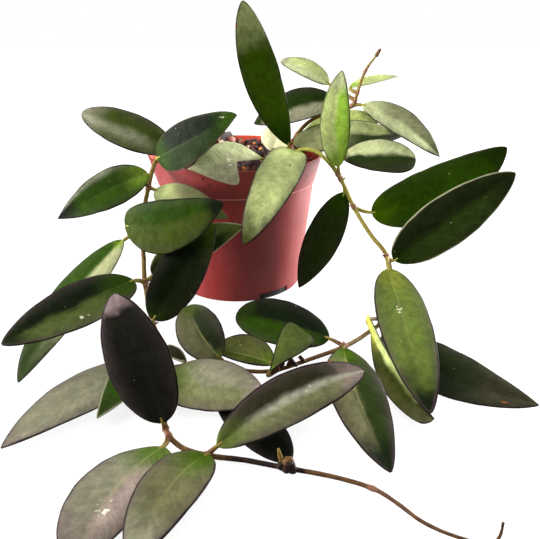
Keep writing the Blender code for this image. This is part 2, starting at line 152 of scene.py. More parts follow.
def out(node, name=None):
    """A node's output as a wire: the named one, or the first that is in use."""
    return Wire(node.id_data, next(s for s in node.outputs if s.enabled and name in (None, s.name)))


def put(tree, kind, sockets=None, result=None, **settings):
    """Adds a node and gives one of its outputs: the named result, or the first that is in use."""
    return out(add(tree, kind, sockets, **settings), result)


def compute(operation, *values):
    """One math node, for numbers or for vectors."""
    tree = next(value.tree for value in values if isinstance(value, Wire))
    vectors = [is_vector(value) for value in values]
    if not any(vectors):
        node = add(tree, "ShaderNodeMath", operation=operation)
        sockets = list(node.inputs)
    elif operation == "MULTIPLY" and not all(vectors):
        node = add(tree, "ShaderNodeVectorMath", operation="SCALE")
        sockets = [node.inputs[0], node.inputs["Scale"]]
        values = sorted(values, key=is_vector, reverse=True)
    else:
        node = add(tree, "ShaderNodeVectorMath", operation=operation)
        sockets = list(node.inputs)
    for socket, value in zip(sockets, values):
        feed(tree, socket, value)
    return out(node, "Value" if operation in ("LENGTH", "DOT_PRODUCT") else None)


def three(vector):
    """The three numbers of a vector, as three wires."""
    parts = add(vector.tree, "ShaderNodeSeparateXYZ", {"Vector": vector})
    return [Wire(vector.tree, socket) for socket in parts.outputs]


def smooth(value, low, high):
    """0 below low, 1 above high, and a soft step between them. low may be the larger one."""
    tree = value.tree
    sockets = {"Value": value, "From Min": low, "From Max": high}
    return put(tree, "ShaderNodeMapRange", sockets, interpolation_type="SMOOTHSTEP")


print("wires ready")

# %% [markdown]
# ## Trees with named inputs
#
# A node tree that is used more than once gets named inputs, like the dials on a machine. The same helper
# makes shader groups and Geometry Nodes trees. A Geometry Nodes tree is run once, and its result is kept as
# a plain mesh, because a finished part should hold its shape without its recipe.

# %% Make and run trees
def floats(**values):
    """Descriptions of plain number inputs, each with the value that it starts from."""
    return {label: ("Float", value) for label, value in values.items()}


def new_tree(name, kind, inputs, outputs):
    """An empty tree with named inputs and outputs. Gives the tree, its inputs as wires, and its last node."""
    tree = bpy.data.node_groups.new(name, kind)
    for label, (form, value) in inputs.items():
        socket = tree.interface.new_socket(label, in_out="INPUT", socket_type=f"NodeSocket{form}")
        if value is not None:
            socket.default_value = value
    for label, form in outputs.items():
        tree.interface.new_socket(label, in_out="OUTPUT", socket_type=f"NodeSocket{form}")
    start = tree.nodes.new("NodeGroupInput")
    end = tree.nodes.new("NodeGroupOutput")
    return tree, {label: Wire(tree, start.outputs[label]) for label in inputs}, end


def named(tree, name, form="FLOAT"):
    """A value stored on the mesh, read inside Geometry Nodes."""
    return put(tree, "GeometryNodeInputNamedAttribute", {"Name": name}, data_type=form, result="Attribute")


def step(geometry, kind, sockets=None, **settings):
    """One more Geometry Nodes step on a geometry. kind is the node's name without GeometryNode."""
    sockets = {"Geometry": geometry, **(sockets or {})}
    return put(geometry.tree, f"GeometryNode{kind}", sockets, **settings)


def keep(geometry, name, value, domain="POINT"):
    """Stores a number on every point or instance of a geometry."""
    sockets = {"Name": name, "Value": value}
    return step(geometry, "StoreNamedAttribute", sockets, data_type="FLOAT", domain=domain)


def settle(made):
    """Keeps what an object's modifiers make as its own plain mesh, and removes the modifiers."""
    graph = bpy.context.evaluated_depsgraph_get()
    mesh = bpy.data.meshes.new_from_object(made.evaluated_get(graph))
    made.modifiers.clear()
    made.data = mesh
    return made


def grow(name, source, tree, values):
    """Runs a Geometry Nodes tree on a mesh and keeps the result as a plain mesh object at the origin."""
    made = new_object(name, source)
    change = made.modifiers.new(tree.name, "NODES")
    change.node_group = tree
    for item in tree.interface.items_tree:
        if item.item_type == "SOCKET" and item.in_out == "INPUT" and item.name in values:
            change[item.identifier] = values[item.name]
    return settle(made)


def triangles(piece):
    """How many triangles a piece has."""
    return sum(len(face.vertices) - 2 for face in piece.data.polygons)


def place_piece(piece, slot, *nodes):
    """Lets a finished piece ride on the plant's one body, in the place of the plain solids it stands for."""
    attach(piece, "root")
    if nodes:
        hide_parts(*nodes)
    print(f"{piece.name}: {triangles(piece)} triangles")


# %% [markdown]
# ## Colours and the three effects that finishes share
#
# A colour picked on a screen isn't the number that a shader wants, so `paint` converts it. Leaves, stems,
# plastic and bark are all uneven in the same three ways: cloudy patches, small specks, and a fine relief.
# Each effect is a node group that puts out only a mask or a height. It is built once and placed in every
# finish with its own values.

# %% Shared effects
def paint(red, green, blue):
    """A colour from 0 to 255 on the screen, as the linear values that Blender's shaders use."""
    values = [v / 255 for v in (red, green, blue)]
    return tuple(v / 12.92 if v <= 0.04045 else ((v + 0.055) / 1.055) ** 2.4 for v in values)


def noise_of(place, scale, detail, roughness=0.5):
    """A noise node on a place, from 0 to 1."""
    sockets = {"Vector": place, "Scale": scale, "Detail": detail, "Roughness": roughness}
    return put(place.tree, "ShaderNodeTexNoise", sockets)


def cloud_group():
    """Cloudy patches: 0 and 1 with soft edges, whose size and softness are inputs."""
    inputs = {"Place": ("Vector", None), **floats(Scale=200.0, Softness=0.1)}
    tree, wires, end = new_tree("cloudy patches", "ShaderNodeTree", inputs, {"Mask": "Float"})
    cloud = noise_of(wires["Place"], wires["Scale"], 4.0, 0.6)
    mask = smooth(cloud, 0.5 - wires["Softness"], 0.5 + wires["Softness"])
    feed(tree, end.inputs["Mask"], mask)
    return tree


def speck_group():
    """Small round specks. Amount is the share of the cells that hold one."""
    inputs = {"Place": ("Vector", None), **floats(Scale=900.0, Size=0.2, Amount=0.2)}
    tree, wires, end = new_tree("specks", "ShaderNodeTree", inputs, {"Mask": "Float"})
    warp = noise_of(wires["Place"], wires["Scale"] * 1.7, 1.0) - 0.5
    place = wires["Place"] * wires["Scale"]
    cells = add(tree, "ShaderNodeTexVoronoi", {"Vector": place, "Scale": 1.0}, feature="F1")
    dot = smooth(out(cells, "Distance") + warp * 0.3, wires["Size"], wires["Size"] * 0.5)
    chance = put(tree, "ShaderNodeSeparateColor", {"Color": out(cells, "Color")}, result="Red")
    feed(tree, end.inputs["Mask"], dot * compute("LESS_THAN", chance, wires["Amount"]))
    return tree


def relief_group():
    """A fine uneven height, from a broad swell and a fine grain."""
    inputs = {"Place": ("Vector", None), **floats(Swell=150.0, Grain=1500.0, Balance=0.5)}
    tree, wires, end = new_tree("fine relief", "ShaderNodeTree", inputs, {"Height": "Float"})
    swell = noise_of(wires["Place"], wires["Swell"], 2.0)
    grain = noise_of(wires["Place"], wires["Grain"], 3.0, 0.6)
    feed(tree, end.inputs["Height"], swell + (grain - swell) * wires["Balance"])
    return tree


CLOUDS = cloud_group()
SPECKS = speck_group()
RELIEF = relief_group()


def effect(group, *values):
    """Places a shared effect in the finish that the first value belongs to, and gives its result."""
    node = values[0].tree.nodes.new("ShaderNodeGroup")
    node.node_tree = group
    for socket, value in zip(node.inputs, values):
        feed(node.id_data, socket, value)
    return out(node)


def cloud_mask(place, scale, softness):
    """Cloudy patches on a place."""
    return effect(CLOUDS, place, scale, softness)


def speck_mask(place, scale, size, amount):
    """Small round specks on a place."""
    return effect(SPECKS, place, scale, size, amount)


def over(below, above, mask):
    """Lays one colour over another where the mask is 1."""
    tree = mask.tree
    node = add(tree, "ShaderNodeMix", data_type="RGBA")
    feed(tree, node.inputs["Factor"], mask)
    for name, colour in (("A", below), ("B", above)):
        socket = next(s for s in node.inputs if s.name == name and s.enabled)
        feed(tree, socket, colour if isinstance(colour, Wire) else (*colour, 1.0))
    return Wire(tree, next(s for s in node.outputs if s.enabled))


def attribute(tree, name, form="Fac"):
    """A value stored on the mesh, read by a finish: form is Fac, Color or Vector."""
    return put(tree, "ShaderNodeAttribute", attribute_name=name, result=form)


def new_finish(name):
    """An empty finish. Gives the material, its tree, its shader and the object's own coordinates."""
    made = bpy.data.materials.new(name)
    made.use_nodes = True
    tree = made.node_tree
    place = put(tree, "ShaderNodeTexCoord", result="Object")
    return made, tree, tree.nodes["Principled BSDF"], place


def layered(colour, *layers):
    """Lays screen colours one over another, each as (colour, mask)."""
    for above, mask in layers:
        colour = over(colour, paint(*above), mask)
    return colour


def complete(shader, depth, height, values):
    """Fills a finish's shader by name and bumps it by a height from 0 to 1, whose real depth is in metres."""
    tree = shader.id_data
    for name, value in values.items():
        feed(tree, shader.inputs[name], value)
    sockets = {"Height": height, "Distance": depth, "Strength": 1.0}
    feed(tree, shader.inputs["Normal"], put(tree, "ShaderNodeBump", sockets))


print("shared effects:", CLOUDS.name, SPECKS.name, RELIEF.name)

# %% [markdown]
# ## Table and light
#
# The plant stands on a plain white table in a bright room of soft light. A broad lamp high in front lights
# the leaves that face the camera, and a dim one overhead greys the leaves that lie flat. A strong tall lamp
# at the back right draws the broad pink band down the pot, a weaker one at the left draws the narrow one,
# and the dark room in front keeps the pot's middle deep red. The surroundings are white where the camera
# sees them and dim as a light, so that the shadows keep depth. The table adds a little light of its own,
# also for the camera alone, so that it stays as white as paper.

# %% Table, lamps and surroundings
TABLE_RADIUS = 6.0
MIDDLE = (0.02, -0.05, 0.07)


def make_table():
    """A wide white table top with a slight gloss."""
    bpy.ops.mesh.primitive_circle_add(vertices=96, radius=TABLE_RADIUS, fill_type="NGON")
    table = bpy.context.object
    table.name = "table"
    look, tree, shader, place = new_finish("white table")
    white = over(paint(250, 250, 250), paint(247, 247, 247), cloud_mask(place, 3.0, 0.4))
    seen = put(tree, "ShaderNodeLightPath", result="Is Camera Ray")
    glow = over((0.8, 0.8, 0.8), (1.0, 1.0, 1.0), smooth(compute("LENGTH", place), 0.2, 1.2))
    feed(tree, shader.inputs["Base Color"], over(paint(140, 140, 140), white * 0.25, seen))
    feed(tree, shader.inputs["Emission Color"], over((0, 0, 0), glow, seen))
    shader.inputs["Emission Strength"].default_value = 1.0
    shader.inputs["Roughness"].default_value = 0.6
    table.data.materials.append(look)


def add_lamp(name, place, size, power):
    """A rectangular soft lamp that points at the middle of the plant."""
    data = bpy.data.lights.new(name, "AREA")
    data.shape = "RECTANGLE"
    data.size, data.size_y = size
    data.energy = power
    made = new_object(name, data)
    made.location = place
    made.rotation_euler = (Vector(MIDDLE) - Vector(place)).to_track_quat("-Z", "Y").to_euler()


def make_surroundings(ceiling, back, sides, front):
    """A white world whose ceiling, back, sides and front each give their own share of light."""
    world = bpy.data.worlds.new("surroundings")
    bpy.context.scene.world = world
    world.use_nodes = True
    tree = world.node_tree
    direction = put(tree, "ShaderNodeTexCoord", result="Generated")
    _, ahead, height = three(direction)
    strength = smooth(ahead, 0.1, 0.8) * (back - sides) + smooth(ahead, -0.1, -0.8) * (front - sides) + sides
    strength = strength + (ceiling - strength) * smooth(height, 0.3, 0.75)
    seen = put(tree, "ShaderNodeLightPath", result="Is Camera Ray")
    light = tree.nodes["Background"]
    light.inputs["Color"].default_value = (1, 1, 1, 1)
    feed(tree, light.inputs["Strength"], strength + (1.0 - strength) * seen)


make_table()
add_lamp("front lamp", (0.0, -0.6, 1.05), (1.0, 0.6), 6.0)
add_lamp("overhead lamp", (0.1, 0.35, 1.0), (1.2, 0.9), 3.0)
add_lamp("right lamp", (0.78, 0.45, 0.15), (0.4, 0.6), 50.0)
add_lamp("left lamp", (-0.87, -0.16, 0.15), (0.3, 0.6), 27.0)
make_surroundings(0.55, 0.1, 0.1, 0.04)
print("table and lamps ready")

# %% [markdown]
# ## The pot
#
# A nursery pot is one thin skin of terracotta-coloured plastic: a tapered cup with a flared collar, a sharp
# little step under the collar, a rounded lip, and four notches in its foot to let water out. Anything round
# about an axis can be turned from half of its outline, as on a lathe. The outline's corners are rounded
# first, because real plastic has no knife edges and a rounded corner is what catches the light. The notches
# are then cut with a Boolean, and a thin piece of damp soil stands just inside each, where it shows.

# %% Turn the pot
RIM_RADIUS = 60.0
POT_HEIGHT = 94.3
FOOT_RADIUS = 45.7
COLLAR_HEIGHT = 19.3
COLLAR_FOOT_RADIUS = 54.9
COLLAR_STEP = 0.6
WALL = 1.2
FLOOR_THICKNESS = 1.5
POT_SIDES = 192
NOTCH_COUNT = 4
NOTCH_HEIGHT = 4.7
NOTCH_SPAN = 30.0
NOTCH_FIRST = 36.0
NOTCH_DEPTH = 6.0
NOTCH_SOIL_INNER = 1.3
NOTCH_SOIL_OUTER = 0.4
NOTCH_SOIL_GAP = 0.1
NOTCH_SOIL_INSET = 0.2
FRONT = -90.0
SHARP_ANGLE = 35.0
CORNER_POINTS = 5
COLLAR_FOOT = POT_HEIGHT - COLLAR_HEIGHT


def inner_radius(height):
    """The radius of the pot's inner wall at a height."""
    if height <= COLLAR_FOOT:
        share = height / COLLAR_FOOT
        outer = FOOT_RADIUS + share * (COLLAR_FOOT_RADIUS - COLLAR_STEP - FOOT_RADIUS)
    else:
        share = (height - COLLAR_FOOT) / COLLAR_HEIGHT
        outer = COLLAR_FOOT_RADIUS - COLLAR_STEP + share * (RIM_RADIUS - COLLAR_FOOT_RADIUS + COLLAR_STEP)
    return outer - WALL


def rounded(corners):
    """An outline whose corners (radius, height, rounding) become small arcs."""
    points = []
    for k, (r, z, size) in enumerate(corners):
        here = np.array((r, z))
        if size == 0 or k in (0, len(corners) - 1):
            points.append(here)
            continue
        before = np.array(corners[k - 1][:2]) - here
        after = np.array(corners[k + 1][:2]) - here
        start = here + before / np.linalg.norm(before) * size
        end = here + after / np.linalg.norm(after) * size
        for t in np.linspace(0, 1, CORNER_POINTS):
            points.append((1 - t) ** 2 * start + 2 * t * (1 - t) * here + t**2 * end)
    return points


def mesh_object(name, shape):
    """A mesh object made of a finished shape."""
    mesh = bpy.data.meshes.new(name)
    shape.to_mesh(mesh)
    shape.free()
    return new_object(name, mesh)


def turned(name, profile, sides, first=0.0, span=360.0):
    """Spins an outline of (radius, height) points round the Z axis. A full turn closes on itself."""
    whole = span >= 360.0
    shape = bmesh.new()
    rows = []
    for k in range(sides + (not whole)):
        turn = math.radians(first + span * k / sides)
        points = [(r * math.cos(turn) * MM, r * math.sin(turn) * MM, z * MM) for r, z in profile]
        rows.append([shape.verts.new(point) for point in points])
    count = len(profile)
    for k in range(sides):
        here, there = rows[k], rows[(k + 1) % len(rows)]
        for j in range(count if not whole else count - 1):
            after = (j + 1) % count
            shape.faces.new((here[j], there[j], there[after], here[after]))
    if not whole:
        shape.faces.new(rows[0])
        shape.faces.new(rows[-1])
    bmesh.ops.remove_doubles(shape, verts=shape.verts, dist=1e-6)
    bmesh.ops.recalc_face_normals(shape, faces=shape.faces)
    return mesh_object(name, shape)


def cut(made, cutters):
    """Takes the cutters' shapes out of an object and removes the cutters."""
    for cutter in cutters:
        change = made.modifiers.new("cut", "BOOLEAN")
        change.object = cutter
        change.solver = "EXACT"
        settle(made)
        bpy.data.objects.remove(cutter)


def notch_blocks(name, inner, outer, low, high, sides, inset=0.0):
    """A short turned block for each notch, drawn in at both ends by an inset in degrees."""
    box = [(inner, low), (outer, low), (outer, high), (inner, high)]
    first = NOTCH_FIRST + FRONT - NOTCH_SPAN / 2 + inset
    turns = [first + 360.0 * k / NOTCH_COUNT for k in range(NOTCH_COUNT)]
    return [turned(name, box, sides, turn, NOTCH_SPAN - 2 * inset) for turn in turns]


def make_pot():
    """The cup in one turned outline, with its notches cut."""
    inside_top = inner_radius(POT_HEIGHT)
    corners = [
        (0.0, 0.0, 0),
        (FOOT_RADIUS, 0.0, 0.7),
        (COLLAR_FOOT_RADIUS - COLLAR_STEP, COLLAR_FOOT, 0.15),
        (COLLAR_FOOT_RADIUS, COLLAR_FOOT + COLLAR_STEP * 0.6, 0.2),
        (RIM_RADIUS, POT_HEIGHT, 0.55),
        (inside_top, POT_HEIGHT, 0.55),
        (inner_radius(COLLAR_FOOT), COLLAR_FOOT, 0.3),
        (inner_radius(FLOOR_THICKNESS), FLOOR_THICKNESS, 0.8),
        (0.0, FLOOR_THICKNESS, 0),
    ]
    pot = turned("nursery_pot", rounded(corners), POT_SIDES)
    inner, outer = FOOT_RADIUS - NOTCH_DEPTH, FOOT_RADIUS + NOTCH_DEPTH
    cut(pot, notch_blocks("notch", inner, outer, -1.0, NOTCH_HEIGHT, 12))
    pot.data.shade_smooth()
    pot.data.set_sharp_from_angle(angle=math.radians(SHARP_ANGLE))
    return pot


def joined(name, parts):
    """One mesh object out of several, which are removed."""
    shape = bmesh.new()
    for part in parts:
        shape.from_mesh(part.data)
        bpy.data.objects.remove(part)
    return mesh_object(name, shape)


def make_notch_soil():
    """The damp soil that shows, nearly black, just inside each notch."""
    inner, outer = FOOT_RADIUS - NOTCH_SOIL_INNER, FOOT_RADIUS - NOTCH_SOIL_OUTER
    low, high = NOTCH_SOIL_GAP, NOTCH_HEIGHT - NOTCH_SOIL_GAP
    return joined("notch_soil", notch_blocks("soil", inner, outer, low, high, 16, NOTCH_SOIL_INSET))


pot = make_pot()
notch_soil = make_notch_soil()
print("pot turned with", POT_SIDES, "sides")

# %% [markdown]
# ## The pot's plastic
#
# Cheap terracotta plastic has a satin surface: faint moulding grain, a chalky bloom where water dried, dark
# crumbs of soil near the rim, and a warmer orange inside, painted for the light that passes through the wall.
# A thin painted highlight runs along the ledge under the collar, where its edge catches the light.
# The finish reads the piece's own coordinates, so the marks stay put when the camera moves round.

# %% Plastic finish
def plastic_finish():
    """Terracotta plastic with bloom, streaks, specks of soil, a painted glow inside and a painted highlight
    under the collar.
    """
    look, tree, shader, place = new_finish("terracotta plastic")
    _, _, height = three(place)
    normal = put(tree, "ShaderNodeTexCoord", result="Normal")
    # The inside is painted a warmer orange for the light that shines through the wall: painted light.
    inwards = smooth(normal @ (place * (1.0, 1.0, 0.0)), 0.0, -0.01)
    streaks = cloud_mask(place * (1.0, 1.0, 0.12), 160.0, 0.25)
    patches = cloud_mask(place, 45.0, 0.3)
    crumbs = speck_mask(place, 420.0, 0.3, 0.12) * smooth(height, 0.070, 0.094)
    lumps = speck_mask(place, 230.0, 0.34, 0.16) * smooth(height, 0.074, 0.084)
    dots = speck_mask(place, 190.0, 0.16, 0.06)
    # A painted highlight: a thin pale line along the ledge under the collar.
    ledge_highlight = smooth(abs(height - (COLLAR_FOOT + 0.5) * MM), 0.0006, 0.0001)
    colour = layered(
        over(paint(122, 24, 23), paint(134, 31, 28), streaks),
        ((196, 112, 108), patches * 0.1),
        ((196, 58, 30), inwards),
        ((40, 20, 18), crumbs * 0.85),
        ((26, 12, 12), lumps * 0.95),
        ((60, 24, 26), dots * 0.7),
        ((226, 150, 142), ledge_highlight * 0.7),
    )
    complete(shader, 0.00025, effect(RELIEF, place, 60.0, 1400.0, 0.35), {
        "Base Color": colour,
        "Roughness": 0.4 + patches * 0.08 + crumbs * 0.3,
        "Specular IOR Level": 0.5,
        "Sheen Weight": 0.05,
        "Sheen Roughness": 0.3,
        "Sheen Tint": (1.0, 0.78, 0.76, 1.0),
    })
    return look


pot.data.materials.clear()
pot.data.materials.append(plastic_finish())
place_piece(pot, "pot_plastic", "pot")

# %% [markdown]
# ## The bark soil
#
# The soil is a bed of shredded bark with white and yellow grit. From above only its surface shows, a
# finger's breadth under the rim. The bed is a closed body whose top follows the same rule as the packed
# solid: a slight dome with two sizes of bumps. The loose chips come in the next step.

# %% Lay the bed
SOIL_LEVEL = 85.5
SOIL_DOME = 2.4
# Bumps of the surface, each as (size, layer of the noise, height).
SOIL_BUMPS = [(9.0, 3.1, 1.3), (4.0, 8.7, 0.78), (1.6, 1.3, 0.5)]
# Heaps of bark, each as (x, y, reach, height).
SOIL_HEAPS = [(-12, 43, 11, 8.0), (-4, 24, 14, 3.0), (16, 38, 15, 3.0), (38, -4, 12, 2.0), (2, -36, 12, 2.0)]
SOIL_RINGS = 26
SOIL_SIDES = 96
TOUCHING_GAP = 0.3


def soil_height(x, y):
    """The uneven surface of the bark, a little higher in the middle."""
    away = min(1.0, math.hypot(x, y) / inner_radius(SOIL_LEVEL))
    height = SOIL_LEVEL + SOIL_DOME * (1 - away**2)
    for heap_x, heap_y, reach, high in SOIL_HEAPS:
        height += high * math.exp(-(((x - heap_x) ** 2 + (y - heap_y) ** 2) / reach**2))
    for size, layer, high in SOIL_BUMPS:
        height += high * noise.noise(Vector((x / size, y / size, layer)))
    return height


def make_bed():
    """A closed body of soil that fills the pot up to its uneven surface."""
    shape = bmesh.new()
    edge = inner_radius(SOIL_LEVEL) - TOUCHING_GAP
    knee = inner_radius(COLLAR_FOOT) - TOUCHING_GAP
    bottom = FLOOR_THICKNESS + TOUCHING_GAP
    low = inner_radius(bottom) - TOUCHING_GAP
    middle = shape.verts.new((0, 0, soil_height(0, 0) * MM))
    rows = []
    rings = [(edge * ring / SOIL_RINGS, None) for ring in range(1, SOIL_RINGS + 1)]
    for r, level in [*rings, (knee, COLLAR_FOOT), (low, bottom)]:
        row = []
        for k in range(SOIL_SIDES):
            turn = 2 * math.pi * k / SOIL_SIDES
            x, y = r * math.cos(turn), r * math.sin(turn)
            z = level or soil_height(x, y)
            row.append(shape.verts.new((x * MM, y * MM, z * MM)))
        rows.append(row)
    for k in range(SOIL_SIDES):
        after = (k + 1) % SOIL_SIDES
        shape.faces.new((middle, rows[0][k], rows[0][after]))
        for inner_row, outer_row in zip(rows, rows[1:]):
            shape.faces.new((inner_row[k], outer_row[k], outer_row[after], inner_row[after]))
    shape.faces.new(rows[-1])
    bmesh.ops.recalc_face_normals(shape, faces=shape.faces)
    made = mesh_object("bark_bed", shape)
    made.data.shade_smooth()
    return made


bed = make_bed()
print("bed of", len(bed.data.vertices), "points")

# %% [markdown]
# ## A tree for loose bits
#
# Hundreds of loose bits lie on the bed. Placing them by hand would take days, and a picture of bark would
# look flat from the side. Geometry Nodes scatters points over a surface, puts a small block on each, turns
# and sizes each by chance, and then pushes the corners of all the blocks about, so that no two bits are
# alike. One tree serves for bark chips, coarse chunks and pale grit: only its dials differ.

# %% The scatter tree
def scatter_tree():
    """Loose bits on a surface, above a lowest height. Density is bits per square metre."""
    inputs = {
        "Surface": ("Geometry", None),
        "Size": ("Vector", (0.005, 0.003, 0.002)),
        **floats(Density=1000.0, Smallest=0.4, Raggedness=0.3, Tumble=0.5, Lift=0.2, Lowest=0.0, Reach=1.0),
        "Seed": ("Int", 1),
        "Finish": ("Material", None),
    }
    tree, wires, end = new_tree("loose bits", "GeometryNodeTree", inputs, {"Bits": "Geometry"})
    place = put(tree, "GeometryNodeInputPosition")
    _, _, height = three(place)
    away = compute("LENGTH", place * (1.0, 1.0, 0.0))
    chosen = compute("GREATER_THAN", height, wires["Lowest"]) * compute("LESS_THAN", away, wires["Reach"])
    sockets = {"Mesh": wires["Surface"], "Selection": chosen}
    sockets |= {"Density": wires["Density"], "Seed": wires["Seed"]}
    points = add(tree, "GeometryNodeDistributePointsOnFaces", sockets)
    sockets = {"Size": (1.0, 1.0, 1.0), "Vertices X": 4, "Vertices Y": 3, "Vertices Z": 3}
    block = put(tree, "GeometryNodeMeshCube", sockets, result="Mesh")

    def chance(low, high, salt, form="FLOAT"):
        sockets = {"Min": low, "Max": high, "Seed": wires["Seed"] + float(salt)}
        return put(tree, "FunctionNodeRandomValue", sockets, data_type=form)

    # Each block gets a turn, a size and two chance values of its own.
    lean = put(tree, "ShaderNodeCombineXYZ", {"X": wires["Tumble"], "Y": wires["Tumble"], "Z": 1.0})
    spin = chance((-1.0, -1.0, -3.14), (1.0, 1.0, 3.14), 1, "FLOAT_VECTOR") * lean
    turn = put(tree, "FunctionNodeEulerToRotation", {"Euler": spin})
    sockets = {"Rotation": out(points, "Rotation"), "Rotate By": turn}
    turn = put(tree, "FunctionNodeRotateRotation", sockets, rotation_space="LOCAL")
    scale = wires["Size"] * chance(wires["Smallest"], 1.0, 2)
    scale = scale * chance((0.7, 0.7, 0.6), (1.2, 1.2, 1.2), 3, "FLOAT_VECTOR")
    sockets = {"Points": out(points, "Points"), "Instance": block, "Rotation": turn, "Scale": scale}
    bits = put(tree, "GeometryNodeInstanceOnPoints", sockets)
    bits = keep(bits, "grain", chance(0.0, 1.0, 4), "INSTANCE")
    bits = keep(bits, "shift", chance(0.0, 1.0, 5), "INSTANCE")
    lift = put(tree, "ShaderNodeCombineXYZ", {"Z": wires["Lift"]})
    sockets = {"Instances": bits, "Translation": lift, "Local Space": False}
    bits = step(put(tree, "GeometryNodeTranslateInstances", sockets), "RealizeInstances")

    # Noise pushes the corners about, from a different place in the noise for each block.
    span = compute("LENGTH", wires["Size"])
    sockets = {"Vector": place, "W": named(tree, "shift") * 50.0, "Scale": 1.1 * (1.0 / span), "Detail": 2.0}
    ragged = put(tree, "ShaderNodeTexNoise", sockets, result="Color", noise_dimensions="4D")
    push = (ragged - (0.5, 0.5, 0.5)) * (span * wires["Raggedness"])
    bits = step(bits, "SetPosition", {"Offset": push})
    bits = step(bits, "SetShadeSmooth", {"Shade Smooth": False})
    feed(tree, end.inputs["Bits"], step(bits, "SetMaterial", {"Material": wires["Finish"]}))
    return tree


SCATTER = scatter_tree()
print("scatter tree with", len(SCATTER.nodes), "nodes")


# %% [markdown]
# ## Finishes for bark and grit
#
# Wet bark is nearly black with a purple cast, and where it has dried it turns red-brown. Each chip carries
# a chance value of its own, called grain, and the finish turns that value into a colour. The grit uses the
# same idea with pale colours.

# %% Bark and grit finishes
def graded(value, stops):
    """A colour ramp: each stop is (place, red, green, blue), with the colour as on the screen."""
    node = add(value.tree, "ShaderNodeValToRGB", {"Fac": value})
    ramp = node.color_ramp
    while len(ramp.elements) < len(stops):
        ramp.elements.new(1.0)
    for element, (place, *colour) in zip(ramp.elements, stops):
        element.position = place
        element.color = (*paint(*colour), 1.0)
    return out(node, "Color")


def bit_finish(name, stops, roughness, fibres):
    """A finish for loose bits, whose colour comes from each bit's own chance value."""
    look, tree, shader, place = new_finish(name)
    long_place = place * (1.0, 0.35, 1.0)
    stains = cloud_mask(long_place, fibres, 0.2)
    colour = layered(graded(attribute(tree, "grain"), stops), ((18, 9, 9), stains * 0.45))
    values = {"Base Color": colour, "Roughness": roughness + stains * 0.15}
    complete(shader, 0.0004, effect(RELIEF, long_place, 700.0, 2500.0, 0.5), values)
    return look


BARK_STOPS = [(0, 26, 9, 12), (0.45, 54, 18, 20), (0.7, 92, 34, 28), (0.9, 140, 62, 40), (1, 176, 104, 78)]
GRIT_STOPS = [
    (0, 244, 206, 178), (0.3, 214, 140, 110), (0.5, 236, 150, 20), (0.75, 228, 128, 16), (1, 250, 222, 196),
]
bark = bit_finish("shredded bark", BARK_STOPS, 0.62, 500.0)
grit = bit_finish("pale grit", GRIT_STOPS, 0.7, 900.0)
for piece in (bed, notch_soil):
    piece.data.materials.append(bark)
place_piece(bed, "bark_soil", "soil")
place_piece(notch_soil, "bark_soil")

# %% [markdown]
# ## Chips, chunks and grit
#
# Real potting mix is loose: shreds of bark lie crosswise on coarse chunks, with a few pale and yellow
# grains between them. Placing them by hand would take hundreds of objects. The scatter tree drops them at
# random over the bed instead, in three layers of different size, and a fixed seed keeps each layer the same
# every time.

# %% Scatter chips, chunks and grit
# How far from the middle the bits reach, and how far below the soil's level they may lie.
CHIP_REACH = 51.5
CHUNK_REACH = 48.0
BELOW_LEVEL = 4.0


def scatter(name, reach, size, lift, **values):
    """One layer of loose bits on top of the bed, with its reach, size and lift in millimetres."""
    inputs = {label.capitalize(): value for label, value in values.items()}
    inputs["Size"] = tuple(length * MM for length in size)
    inputs["Lift"] = lift * MM
    inputs["Reach"] = reach * MM
    inputs["Lowest"] = (SOIL_LEVEL - BELOW_LEVEL) * MM
    return grow(name, bed.data.copy(), SCATTER, inputs)


layers = [
    scatter("bark_chips", CHIP_REACH, (7, 3.4, 2.2), 0.8, density=60000, seed=3, tumble=0.9, finish=bark),
    scatter("bark_chunks", CHUNK_REACH, (10, 6, 5), 2.4, density=17000, seed=11, tumble=1.1, finish=bark),
    scatter("grit", CHIP_REACH, (3.4, 3, 2.6), 3.2, density=12000, seed=7, tumble=3.0, finish=grit),
]
for layer in layers:
    place_piece(layer, "bark_soil")

# %% [markdown]
# ## Stems
#
# A hoya's stem is a tough wiry vine, green-yellow where it is young and brown where it has aged, with a
# swollen joint at every pair of leaves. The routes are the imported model's own: the points that each stem
# passes through. A curve object could give the tube, but the joints need to swell and darken, so each
# station along the route is a mesh point that carries its own thickness, and Geometry Nodes turns the line
# of points into a tube.

# %% Routes of the stems
STEM_ROOT = 70.0
STEM_RADIUS = 1.35
JOINT_RADIUS = 2.0
JOINT_LENGTH = 2.5
STALK_RADIUS = 1.05
STALK_STATIONS = 9
STALK_REACH = 3.5
STALK_SINK = 3.0
BLADE_END = 0.004

# young and old say how brown the stem is at its root and at its far end, from 0 to 1. dark is a stretch of
# the route, from one point's number to another's, that has aged nearly to black.
Stem = namedtuple("Stem", "route tip bare young old dark", defaults=(STEM_RADIUS, (), 0.4, 0.8, (0, 0)))

